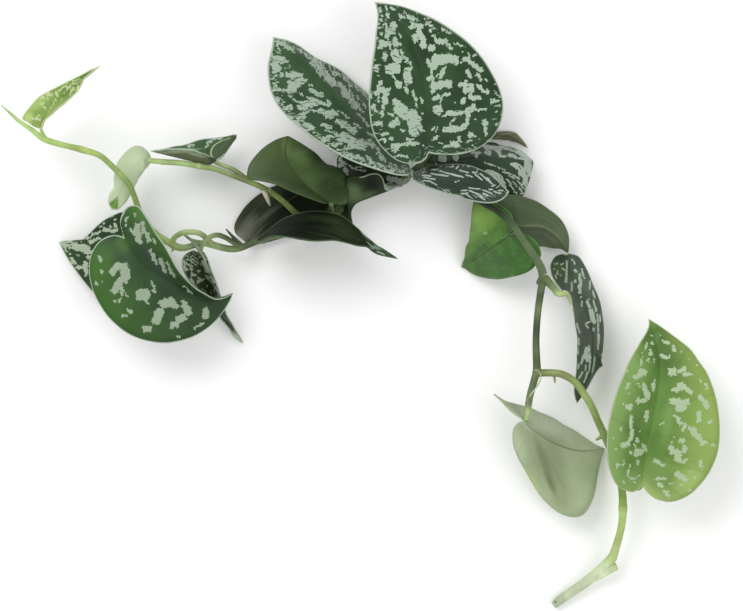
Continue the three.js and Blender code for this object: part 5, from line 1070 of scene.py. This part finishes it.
underFinish = dict(
    cloud=(30, 2, 0.5), cloudEdge=(0.3, 0.7), greens=(0.84, 1.16), grain=(1500, 2, 0.6),
    streak=0.1, streakSize=(34, 2.2), streakNoise=(1, 3, 0.6), streakEdge=(0.45, 0.75),
    streakPale=(0.6, 62),  # share of the underside's colour, and what is added to it
    streakLeft=0.15,  # what is left of the streaks at streakEnd
    veinEdge=0.04, veinTone=0.12, veinShade=0.6, ribLine=(0.8, 0.35, 0, 0.75), ribShade=0.55,
    tipFlecks=(1.6, 7), tipNoise=(1, 2, 0.5), tipEdge=(0.53, 0.57), tipGreen=(40, 62, 36),
    tipSilver=(146, 164, 148), marginLine=(0.6, 0.25),
    roughness=0.5, bump=(0.25, 0.15), gloss=0.2,
    # wet: dents in the bump, lower roughness, and the colour mottled lighter and darker over the dents as
    # painted glints and shade
    wetDents=(210, 3, 0.6), wetEdge=(0.35, 0.7), wetGlintGreens=(0.62, 1.5), wetShare=0.4,
    wetRoughness=0.3, wetBump=(0.9, 0.9), wetGloss=0.36)


def underMaterial(name, look, seed):
    # the plain underside: dark vein lines and faint streaks
    look = {**underFinish, **look}
    nodes = Nodes(name + "_under")
    rib, rim, station = nodes.attribute("rib"), nodes.attribute("rim"), nodes.attribute("station")
    place = nodes.place()
    cloud, grain = nodes.noise(place, *look["cloud"]), nodes.noise(place, *look["grain"])
    streaks = nodes.noise(veinVector(nodes, look["streakSize"], seed), *look["streakNoise"])
    under = linear(look["under"])
    base = nodes.mix(nodes.step(cloud, *look["cloudEdge"]), *(tone(under, v) for v in look["greens"]))
    base = leafTones(nodes, base, look, name)
    share, added = look["streakPale"]
    streakTone = linear(look.get("streakTone", tuple(v * share + added for v in look["under"])))
    streaked = nodes.step(streaks, *look["streakEdge"], 0, look["streak"])
    if "streakEnd" in look:
        faded = nodes.step(station, *look["streakEnd"], 1, look["streakLeft"])
        streaked = nodes.times(streaked, faded)
    base = nodes.mix(streaked, base, streakTone)
    line = veinLine(nodes, station, look["veinEdge"], look["veinTone"])
    base = nodes.mix(line, base, tone(under, look["veinShade"]))
    ribTone = linear(look["midrib"]) if "midrib" in look else tone(under, look["ribShade"])
    base = nodes.mix(nodes.step(rib, *look["ribLine"]), base, ribTone)
    if "endSilver" in look:
        # the tip is twisted, so the silver side shows there
        tipPlace = veinVector(nodes, look["tipFlecks"], seed + seedSteps["tip"])
        tipShare = nodes.step(nodes.noise(tipPlace, *look["tipNoise"]), *look["tipEdge"])
        tipTone = nodes.mix(tipShare, linear(look["tipGreen"]), linear(look["tipSilver"]))
        base = nodes.mix(nodes.step(station, *look["endSilver"]), base, tipTone)
    margin = marginColour(nodes, look, linear(look["rim"]))
    colour = nodes.mix(nodes.step(rim, *look["marginLine"]), base, margin)
    # a wet underside: shining dents, their colour mottled lighter and darker as painted glints and shade
    if "wet" in look:
        dents = nodes.noise(place, *look["wetDents"])
        wetGlintTone = nodes.mix(nodes.step(dents, *look["wetEdge"]), *(tone(under, v) for v in look["wetGlintGreens"]))
        colour = nodes.mix(look["wetShare"], colour, wetGlintTone)
        return nodes.finish(colour, look["wetRoughness"], dents, look["wetBump"], look["wetGloss"])
    height = nodes.math("ADD", grain, streaks)
    return nodes.finish(colour, look["roughness"], height, look["bump"], look["gloss"])


rimFinish = dict(fleck=(260, 2, 0.6), shade=0.75, roughness=0.5, bump=(0.2, 0.1), specular=0.2)


def rimMaterial(name, look):
    made = rimFinish
    nodes = Nodes(name + "_rim")
    fleck = nodes.noise(nodes.place(), *made["fleck"])
    pale = linear(look["rim"])
    colour = marginColour(nodes, look, nodes.mix(fleck, tone(pale, made["shade"]), pale))
    return nodes.finish(colour, made["roughness"], fleck, made["bump"], made["specular"])


def leafMaterials(name, seed):
    look = {**finishes[looks[name]["finish"]], **looks[name]}
    return [silverMaterial(name, look, seed), underMaterial(name, look, seed), rimMaterial(name, look)]


for seed, (name, leaf) in enumerate(leaves.items(), 1):
    blade = makeBlade(name, {**leafDefaults, **leaf}, seed)
print("blades made:", len(leaves))


# stems: each route is a list of (x, y, z, radius)
stems = {
    "stem_crown": [
        [(30.8, 80.5, 22, 2), (23.2, 73.5, 18, 2.2), (14.5, 68.7, 15, 2.3), (5.7, 66, 14, 2.3),
         (-3, 62.7, 14, 2.2), (-11.8, 58.3, 14, 2.2), (-17.2, 53.4, 14, 2.2)],
        [(29.8, 79.4, 22, 1.7), (31.8, 82.9, 34, 1.5), (31.7, 81.5, 45, 0.9)],
        [(18.3, 70.8, 16, 1.7), (17.7, 70.7, 24, 1.5), (20.4, 73.8, 31, 1.4)],
        [(28.7, 78.4, 20, 1.7), (31.9, 77.2, 24, 1.5), (34.1, 77.1, 27, 1.4)],
        [(22.1, 73, 18, 1.7), (17.7, 69.3, 34, 1.5), (20.9, 70.2, 44, 1.4)],
        [(30.9, 80.6, 21, 1.6), (38.1, 89, 13, 1.4), (45.8, 95.7, 8, 1.3), (54.1, 97.5, 5, 1.2),
         (61.8, 92.6, 4, 1.1)],
        [(14.5, 69.2, 15, 1.6), (14, 73.1, 14, 1.4), (12.9, 77, 12, 1.2)],
        [(12.3, 68.2, 14, 1.6), (15, 66.3, 17, 1.4), (16.1, 66.1, 21, 1.2)],
        [(-15.1, 54.5, 14, 1.7), (-18.8, 50.5, 22, 1.6), (-21.5, 49.9, 27, 1.5), (-21.9, 52.5, 31, 1.45),
         (-22, 55.7, 34, 1.3)],
        [(28.7, 75.7, 19, 2), (31.4, 77.3, 20, 2.2), (33.6, 79.4, 24, 2.4), (34.3, 82, 29, 2.3),
         (34, 84.6, 34, 1.4)]],
    "stem_upper_left": [
        [(-17.2, 53.4, 14, 2), (-24.9, 47.4, 14, 1.8), (-33.1, 46.2, 16, 1.7), (-40.7, 50, 18, 1.6),
         (-47.2, 56, 21, 1.6), (-52.7, 60.3, 24, 1.6), (-56.5, 62.5, 25, 1.8), (-62.4, 65.7, 27, 1.6),
         (-74.9, 70.5, 29, 1.5), (-85.2, 74.3, 29, 1.5), (-94, 76, 29, 1.6), (-103.8, 77.6, 29, 1.6),
         (-113, 78.2, 29, 1.6), (-121.9, 79.1, 30.3, 1.4)],
        [(-66.2, 67.9, 27, 1.3), (-74.9, 73.8, 28, 1.3), (-81.5, 76.6, 27, 1.2), (-85.3, 78.2, 26, 1.1)],
        [(-57.5, 62.4, 26, 1.3), (-56.4, 58.6, 27, 1.2), (-55.3, 54.2, 27, 0.5)]],
    "stem_lower_left": [
        [(-24.9, 47.4, 14, 1.8), (-39.1, 40.8, 15, 1.8), (-55.5, 37.5, 16, 1.8), (-66.5, 33.6, 16, 1.8),
         (-71.4, 31.5, 16, 1.8), (-76.8, 30.9, 17, 1.9), (-82.8, 32, 18, 1.9), (-86.6, 33.1, 19, 2),
         (-92.6, 34.1, 21, 1.7), (-98, 32.5, 23, 1.7), (-102.3, 31.4, 24, 1.9), (-106.1, 31.9, 25, 2),
         (-109.9, 34.1, 26, 2), (-115.3, 37.3, 27, 1.8), (-120.6, 42.2, 30, 1.7), (-125.4, 49.2, 32, 1.6),
         (-127.6, 55.2, 33, 1.6), (-129.6, 61.1, 36, 1.6), (-132.2, 66.5, 38, 1.6), (-137.1, 71.9, 39, 1.6),
         (-142, 76.8, 39, 1.6), (-148, 81.7, 38, 1.6), (-157.3, 84.7, 37, 1.8), (-165.5, 86.7, 36, 1.6),
         (-173.7, 88.9, 35, 1.7), (-179.2, 91.1, 34, 1.7), (-184.7, 95.5, 33, 1.4),
         (-191.9, 100.4, 31, 1.1), (-196.8, 104.8, 30, 0.8), (-201.8, 109.2, 29, 0.3)],
        [(-66.5, 33.6, 16, 1.4), (-68.2, 34.2, 12, 1.2), (-67.7, 35.4, 8, 1)],
        [(-108.8, 34.1, 26, 1.6), (-107, 37.3, 29, 1.5), (-103.1, 39.5, 31, 1.5), (-98.8, 40, 32, 1.5),
         (-94.4, 39.5, 31, 1.5), (-91.3, 37.9, 28, 1.5), (-88.7, 35.2, 24, 1.5), (-86.6, 33.6, 20, 1.5)],
        [(-71.9, 32, 16, 1.5), (-76.7, 35.2, 21, 1.4), (-80.4, 37.4, 25, 1.4), (-84.2, 38.4, 27, 1.4),
         (-88, 37.3, 28, 1.4), (-91.3, 34.6, 27, 1.3), (-93, 30.8, 24, 1.2), (-93.1, 28.1, 22, 1.1)],
        [(-175.9, 89.4, 34, 1.3), (-178, 92.1, 36, 1.1), (-179.4, 95.3, 39, 0.9)],
        [(-70.8, 32.6, 16, 1.4), (-75.2, 36.9, 18, 1), (-79.5, 41.8, 20, 0.3)],
        [(-107.7, 32.5, 25, 1), (-108.8, 29.2, 25, 0.4)],
        [(-126, 46.5, 31, 1.4), (-130.6, 41.5, 38, 1.3), (-134.2, 37.1, 43, 1.2)],
        [(-115.3, 37.3, 27, 1.4), (-117.1, 36.9, 22, 1.3), (-120.5, 35.3, 18.5, 1.2),
         (-124.9, 33.1, 18, 1.1)],
        [(-91.5, 34.1, 21, 1.3), (-98, 35.7, 23, 0.9), (-102.3, 38.5, 25, 0.4)]],
    "stem_right": [
        [(22.1, 73, 18, 2.2), (29.2, 67.9, 26, 2.1), (37.8, 64.5, 32, 2), (49.7, 61.1, 36, 2),
         (62.7, 54.6, 39, 1.9), (69.2, 50.7, 40, 1.9), (75.7, 44.8, 41, 1.9), (80, 38.8, 41, 1.9),
         (84.4, 32.3, 40, 2), (88.8, 26.3, 38, 2.1), (92.1, 20.4, 36, 2.3), (93.2, 15.5, 35, 2.4),
         (92.7, 11.7, 34, 2.1), (90.6, -3, 31, 1.9), (89.6, -18.8, 30, 1.9), (90.1, -35.7, 31, 2.2)],
        [(92.1, 16.6, 35, 2), (94.5, 14.4, 34.3, 2.5), (97.1, 12, 33.4, 2.4), (99.6, 9.2, 32.4, 2.1),
         (100.7, 7.2, 31.6, 1.9), (103.1, 6.3, 31, 1.8), (105.8, 6.7, 30, 1.6), (107.9, 4.6, 28, 1.4),
         (109.3, 0.8, 26, 0.8)],
        [(91.6, 14.4, 34, 1.3), (90, 11.7, 34, 0.8)],
        [(79, 40.4, 39, 1.2), (76.9, 39.4, 36, 1.1), (75.3, 38.4, 32.5, 0.8)],
        [(75.7, 44.8, 40, 1.2), (75.4, 44.9, 31, 1.1), (73.9, 45.5, 25, 0.9)],
        [(90.1, -35.7, 31, 2.2), (88.4, -41.1, 33, 2), (86.2, -48.6, 37, 1.95), (84.9, -55.6, 40, 1.85),
         (83.8, -62.6, 42, 1.3)],
        [(90.1, -36.7, 31, 2.1), (99.2, -36.7, 34, 2), (104.6, -37.8, 35, 2), (110.6, -41.6, 36, 2),
         (115.5, -48.1, 36, 2), (119.9, -55.2, 35, 2), (123.2, -62.8, 32, 2), (126.7, -70, 28, 2.1),
         (130.8, -79.4, 22, 2.1), (134.8, -91, 18, 2.1), (137, -100.9, 17, 2.1), (137.5, -110.7, 17, 2.3),
         (137, -118.9, 17, 2.1), (135.4, -126.6, 16, 2.1), (133.3, -133.8, 14, 2.3),
         (131.7, -138.3, 12.5, 2.8), (128, -142.7, 11, 3), (122.6, -147.5, 9, 2.9), (116.1, -152.8, 7, 2.9),
         (105.1, -160.6, 5, 2.7), (100.2, -164.5, 4, 2.3)],
        [(134.3, -142.7, 11, 2.3), (130.7, -144.1, 10.5, 2.8), (126.4, -146.7, 9, 2.8),
         (122, -149.5, 8, 2.2), (118.8, -151.4, 7.2, 1)],
        [(131.3, -82.2, 22, 1.5), (138.2, -95.1, 26, 1.4), (144.4, -99.3, 33, 1.3),
         (146.4, -98.6, 36, 1.1)],
        [(99.2, -36.7, 34, 1), (99.8, -42.1, 34, 0.4)],
        [(126.1, -71.1, 28, 1.2), (122.3, -73.3, 28, 0.6)]],
}

# thin pale sheath edges, dry fibres and the stem tip's bract: (stem, colour, routes)
trims = [
    ("stem_right", (184, 196, 158), [
        [(92.1, 15.3, 36.2, 0.22), (92.8, 16.5, 37, 0.25), (94.2, 16.9, 37.2, 0.26),
         (96.1, 16.5, 36.6, 0.28), (98.1, 14.1, 35.6, 0.28), (100.3, 10.9, 34, 0.28),
         (102, 8.8, 32.6, 0.25)],
        [(92, 15.1, 36, 0.22), (93.2, 13, 35.4, 0.22), (95.7, 10.9, 34.2, 0.22), (97.6, 9.2, 33.4, 0.22)],
        [(97.6, 8.4, 33, 0.3), (99.3, 6.8, 32.5, 0.4), (102, 5.7, 31.5, 0.4), (104.7, 7.9, 32, 0.4),
         (107, 6.3, 31, 0.4), (108.6, 2.5, 30, 0.4), (109.7, -2.5, 30, 0.35), (110.5, -7.9, 30, 0.25)],
        [(85.3, -53.2, 40.3, 0.3), (84.5, -51.6, 39.8, 0.35), (87.3, -47.3, 38.4, 0.4),
         (90.5, -43.2, 36.3, 0.4), (92.2, -38.9, 34, 0.35), (91.1, -36.2, 33.5, 0.3)]]),
    ("stem_right", (66, 70, 50), [
        [(100.6, -162.4, 6.6, 0.45), (101, -162.8, 6.9, 0.4)]]),
    ("stem_upper_left", (150, 176, 122), [
        [(-84, 78.3, 26.5, 0.7), (-86.5, 80.4, 26, 0.6), (-87.6, 83.2, 25.3, 0.5), (-86, 86.9, 24.9, 0.45),
         (-82.4, 89.4, 24.2, 0.4), (-76.9, 91.5, 23.3, 0.3)]]),
    ("stem_crown", (138, 146, 112), [
        [(68.1, 92.1, 3.8, 0.3), (72.2, 93.9, 4.3, 0.4), (76.8, 94.6, 3.8, 0.35), (78.3, 94.7, 3.4, 0.25)]]),
    ("stem_lower_left", (138, 154, 124), [
        [(-101.9, 38.9, 26, 0.3), (-99.2, 36.5, 26.5, 0.6), (-95.1, 31.6, 27, 0.9), (-91.5, 26.4, 30, 0.8),
         (-88.1, 19.3, 34.6, 0.6), (-85.8, 12.2, 33, 0.5), (-83.6, 5.7, 29, 0.4)]]),
    ("stem_lower_left", (196, 202, 166), [
        [(-178.8, 97.6, 40.5, 0.4), (-177.6, 100, 42.2, 0.5), (-173.6, 103.3, 46.2, 0.5),
         (-168.8, 107.2, 48.4, 0.5), (-164.7, 110.3, 49.6, 0.45), (-161.7, 113.1, 49.4, 0.35)]]),
    ("stem_upper_left", (222, 212, 190), [
        [(-58.8, 62.4, 28, 1.2), (-57.6, 60.2, 29, 1.3), (-56.4, 57.2, 29, 1), (-55.5, 54.5, 28, 0.35)]]),
]

# colour along the whole stem by place: (x, y, colour); the darker greens by the crown and under leaves are
# painted shade, a few are lighter to make up for shadow leaves cast on them, the rest are the stems' own
# greens and browns
stemTintsAndShade = [
    (30.8, 80.5, (70, 86, 56)), (14.5, 68.7, (84, 102, 66)), (-11.8, 58.3, (86, 108, 66)),
    (-22.6, 53.6, (96, 120, 70)), (-47.2, 56, (158, 182, 106)), (-62.4, 65.7, (140, 160, 90)),
    (-70, 69.5, (122, 134, 86)), (-85.2, 74.3, (140, 164, 100)), (-103.8, 77.6, (166, 188, 124)),
    (-119.5, 78.7, (172, 194, 128)), (-81.5, 76.6, (140, 158, 110)), (-39.1, 40.8, (60, 74, 48)),
    (-66.5, 33.6, (66, 84, 52)), (-76.8, 30.9, (110, 128, 84)), (-86.6, 33.1, (150, 170, 116)),
    (-95.8, 31.9, (144, 162, 122)), (-102.3, 31.4, (142, 162, 106)), (-109.9, 34.1, (150, 172, 104)),
    (-125.4, 49.2, (134, 158, 92)), (-129.6, 61.1, (126, 150, 82)), (-142, 76.8, (142, 168, 96)),
    (-157.3, 85, (158, 176, 98)), (-169.3, 87.8, (160, 188, 106)), (-185.8, 96.6, (168, 196, 120)),
    (-201.8, 109.2, (160, 190, 124)), (-98.8, 40, (158, 178, 120)), (-79.5, 41.8, (52, 58, 48)),
    (-75.2, 36.9, (70, 80, 56)), (49.7, 61.1, (64, 80, 52)), (63.2, 55.6, (36, 48, 32)),
    (69.2, 50.7, (46, 62, 38)), (74.6, 45.8, (62, 82, 50)), (87.9, 12, (118, 90, 68)),
    (92.2, 12.8, (76, 94, 62)), (100.1, -43.5, (150, 112, 88)), (80, 38.8, (82, 100, 68)),
    (88.8, 26.3, (78, 96, 62)), (92.1, 19.3, (80, 98, 64)), (92.2, 5.7, (64, 80, 54)),
    (90.1, -13.3, (64, 82, 54)), (90.1, -29.7, (80, 98, 62)), (96, 13.1, (96, 118, 72)),
    (98.7, 10.1, (106, 126, 80)), (102.2, 6.8, (172, 192, 132)), (106.5, 6.3, (168, 188, 130)),
    (87.8, -43.8, (92, 110, 76)), (85.8, -52.4, (102, 120, 80)), (84.4, -57.8, (152, 172, 112)),
    (99.2, -36.7, (128, 146, 90)), (112.2, -43.2, (146, 166, 98)), (119.9, -55.2, (140, 160, 96)),
    (126.7, -70, (140, 162, 94)), (137, -103.6, (122, 148, 66)), (137.5, -108.6, (122, 148, 66)),
    (137.5, -112.9, (164, 188, 110)), (135.4, -126.6, (158, 176, 108)), (132.2, -137.2, (162, 180, 116)),
    (127.5, -145.6, (202, 216, 176)), (111.7, -155.6, (198, 210, 176)), (101.3, -163.4, (182, 194, 162)),
    (34.1, 80.9, (56, 68, 46)), (-21.8, 52, (92, 118, 70)),
]

# joints on the stems: (x, y)
stemJoints = [
    (-94, 76), (-157.3, 84.7), (90.1, -35.7), (126.1, -71.1), (137.5, -110.7), (132.9, -140),
    (-108.8, 32.4), (-56.5, 62.5),
]

stemMaking = dict(
    sides=18, thinSides=8, ringStep=0.8, fewestRings=6, mostRings=100, linePoints=40,
    swell=0.16, swellLength=1.3,  # thicker at a joint: share of the radius, and reach
    tintReach=1.5, tintPower=3,  # a tint's weight is 1 / (distance + reach) ** power
    noJoint=9)  # distance to a joint that a trim is given, past the joint's pale ring


def ringedCylinder(name, sides, rings):
    # only the long edges are cut, so the caps stay as they are
    deselectAll()
    bpy.ops.mesh.primitive_cylinder_add(vertices=sides, radius=1, depth=1, end_fill_type="TRIFAN")
    tube = bpy.context.object
    tube.name = name
    bpy.ops.object.mode_set(mode="EDIT")
    bpy.ops.mesh.select_mode(type="EDGE")
    bpy.ops.mesh.select_all(action="DESELECT")
    bpy.ops.object.mode_set(mode="OBJECT")
    for edge in tube.data.edges:
        a, b = (tube.data.vertices[v].co for v in edge.vertices)
        edge.select = abs(a.z - b.z) > 0.5
    bpy.ops.object.mode_set(mode="EDIT")
    bpy.ops.mesh.subdivide(number_cuts=rings)
    bpy.ops.mesh.select_mode(type="VERT")
    bpy.ops.object.mode_set(mode="OBJECT")
    bpy.ops.object.shade_smooth()
    return tube


def sidewaysAlong(tangents):
    # a direction square to the line that is carried along it without twist
    side, sideways = np.array([0.0, 0.0, 1.0]), np.zeros_like(tangents)
    for i, tangent in enumerate(tangents):
        side = side - tangent * side.dot(tangent)
        side = side / np.linalg.norm(side)
        sideways[i] = side
    return sideways


def makeTube(name, route, colour=None):
    made = stemMaking
    line = spline([p[:3] for p in route], np.linspace(0, 1, made["linePoints"] * len(route)), True)
    run = runAlong(line)
    rings = min(max(int(run[-1] / made["ringStep"]), made["fewestRings"]), made["mostRings"])
    tube = ringedCylinder(name, made["thinSides"] if colour else made["sides"], rings)
    mesh = tube.data
    straight = getPlaces(mesh)
    at = np.clip(straight[:, 2] + 0.5, 0, 1) * run[-1]
    tangents = unit(np.gradient(line, axis=0))
    place = alongTable(line, run, at)
    tangent = unit(alongTable(tangents, run, at))
    side = alongTable(sidewaysAlong(tangents), run, at)
    side = unit(side - tangent * np.sum(side * tangent, -1, keepdims=True))
    across = np.cross(tangent, side)
    radii = np.interp(np.linspace(0, 1, len(line)), np.linspace(0, 1, len(route)), [p[3] for p in route])
    near = np.min(np.linalg.norm(place[:, None, :2] - np.array(stemJoints)[None], axis=-1), axis=1)
    swell = 1 + made["swell"] * np.exp(-(near / made["swellLength"]) ** 2)
    radius = (np.interp(at, run, radii) * swell)[:, None]
    place = place + side * (straight[:, :1] * radius) + across * (straight[:, 1:2] * radius)
    mesh.vertices.foreach_set("co", ((place - middle) * mm).ravel())
    gap = np.linalg.norm(place[:, None, :2] - np.array([t[:2] for t in stemTintsAndShade], float)[None], axis=-1)
    weight = 1 / (gap + made["tintReach"]) ** made["tintPower"]
    tintAndShade = weight @ np.array([linear(t[2]) for t in stemTintsAndShade]) / weight.sum(1, keepdims=True)
    if colour:
        tintAndShade[:] = linear(colour)
        near[:] = made["noJoint"]
    tintAndShadeData = mesh.attributes.new("tintAndShade", "FLOAT_COLOR", "POINT").data
    tintAndShadeData.foreach_set("color", tintAndShade.astype(np.float32).ravel())
    setFloats(mesh, "joint", near)
    return tube


stemFinish = dict(
    cloud=(90, 3, 0.6), grain=(900, 3, 0.6), edge=(0.3, 0.7), cloudShades=(0.8, 1.16),
    grainShades=(0.93, 1.06), jointRing=(1.1, 0.35, 0, 0.45), jointTone=(206, 204, 160),
    roughness=0.42, bump=(0.3, 0.25), specular=0.25)


def stemMaterial():
    made = stemFinish
    nodes = Nodes("stem_skin")
    place = nodes.place()
    cloud, grain = nodes.noise(place, *made["cloud"]), nodes.noise(place, *made["grain"])
    shade = nodes.times(nodes.step(cloud, *made["edge"], *made["cloudShades"]),
                        nodes.step(grain, *made["edge"], *made["grainShades"]))
    # the stems' own colour, with painted shade by the crown and under leaves and some painted light where
    # leaves shadow them
    toned = nodes.scaled(nodes.attribute("tintAndShade", "Color"), shade)
    ring = nodes.step(nodes.attribute("joint"), *made["jointRing"])
    colour = nodes.mix(ring, toned, linear(made["jointTone"]))
    height = nodes.math("ADD", grain, cloud)
    return nodes.finish(colour, made["roughness"], height, made["bump"], made["specular"])


stemSkin = stemMaterial()
for name, routes in stems.items():
    tubes = [makeTube(name + "_run", route) for route in routes]
    for owner, colour, trimRoutes in trims:
        if owner == name:
            tubes += [makeTube(name + "_trim", route, colour) for route in trimRoutes]
    deselectAll()
    for tube in tubes:
        tube.select_set(True)
    bpy.context.view_layer.objects.active = tubes[0]
    bpy.ops.object.join()
    stem = bpy.context.object
    stem.name = name + "_skin"
    stem.data.materials.clear()
    stem.data.materials.append(stemSkin)
    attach(stem, "root")
    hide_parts(name)
print("stems made:", len(stems))


# floor and lights in m, bumps as (strength, mm)
studio = dict(
    floorSize=4.0, floorDrop=0.0004, floorColour=(0.97, 0.97, 0.97), floorShade=0.985,
    floorNoise=(3, 2, 0.5), floorRoughness=0.9, floorBump=(0.02, 0.1), floorSpecular=0.1,
    worldColour=(1, 1, 1, 1), worldStrength=0.78,
    lights=dict(key=dict(place=(-0.7, 0.9, 1.6), size=1.2, power=15),
                fill=dict(place=(0.9, -0.5, 1.4), size=1.4, power=6)),
    sensor=36.0, viewWidth=408.65, clipEnd=100)  # viewWidth: mm seen across, at the camera's height

deselectAll()
bpy.ops.mesh.primitive_plane_add(size=studio["floorSize"], location=(0, 0, -studio["floorDrop"]))
floor = bpy.context.object
floor.name = "floor"
floorNodes = Nodes("floor_paper")
floorTone = floorNodes.noise(floorNodes.place(), *studio["floorNoise"])
floorColour = (*studio["floorColour"], 1)
floorMixed = floorNodes.mix(floorTone, floorColour, tone(floorColour, studio["floorShade"]))
floor.data.materials.append(floorNodes.finish(
    floorMixed, studio["floorRoughness"], floorTone, studio["floorBump"], studio["floorSpecular"]))

for lightName, values in studio["lights"].items():
    bpy.ops.object.light_add(type="AREA", location=values["place"])
    lamp = bpy.context.object
    lamp.name = lightName + "_light"
    lamp.data.shape = "DISK"
    lamp.data.size = values["size"]
    lamp.data.energy = values["power"]
    # turned to the plant
    x, y, z = values["place"]
    lamp.rotation_euler = (math.atan2(math.hypot(x, y), z), 0, math.atan2(-y, -x) - math.pi / 2)

world = bpy.data.worlds.new("studio")
bpy.context.scene.world = world
world.use_nodes = True
world.node_tree.nodes["Background"].inputs[0].default_value = studio["worldColour"]
world.node_tree.nodes["Background"].inputs[1].default_value = studio["worldStrength"]

cameraHeight = bladeMaking["viewHeight"]
cameraPlace = (np.array([0, 0, cameraHeight]) - middle) * mm
bpy.ops.object.camera_add(location=tuple(cameraPlace), rotation=(0, 0, 0))
camera = bpy.context.object
camera.name = "camera"
camera.data.sensor_width = studio["sensor"]
camera.data.lens = studio["sensor"] * cameraHeight / studio["viewWidth"]
camera.data.clip_end = studio["clipEnd"]
bpy.context.scene.camera = camera
bpy.context.scene.view_settings.view_transform = "Standard"
print("floor, light and camera set")
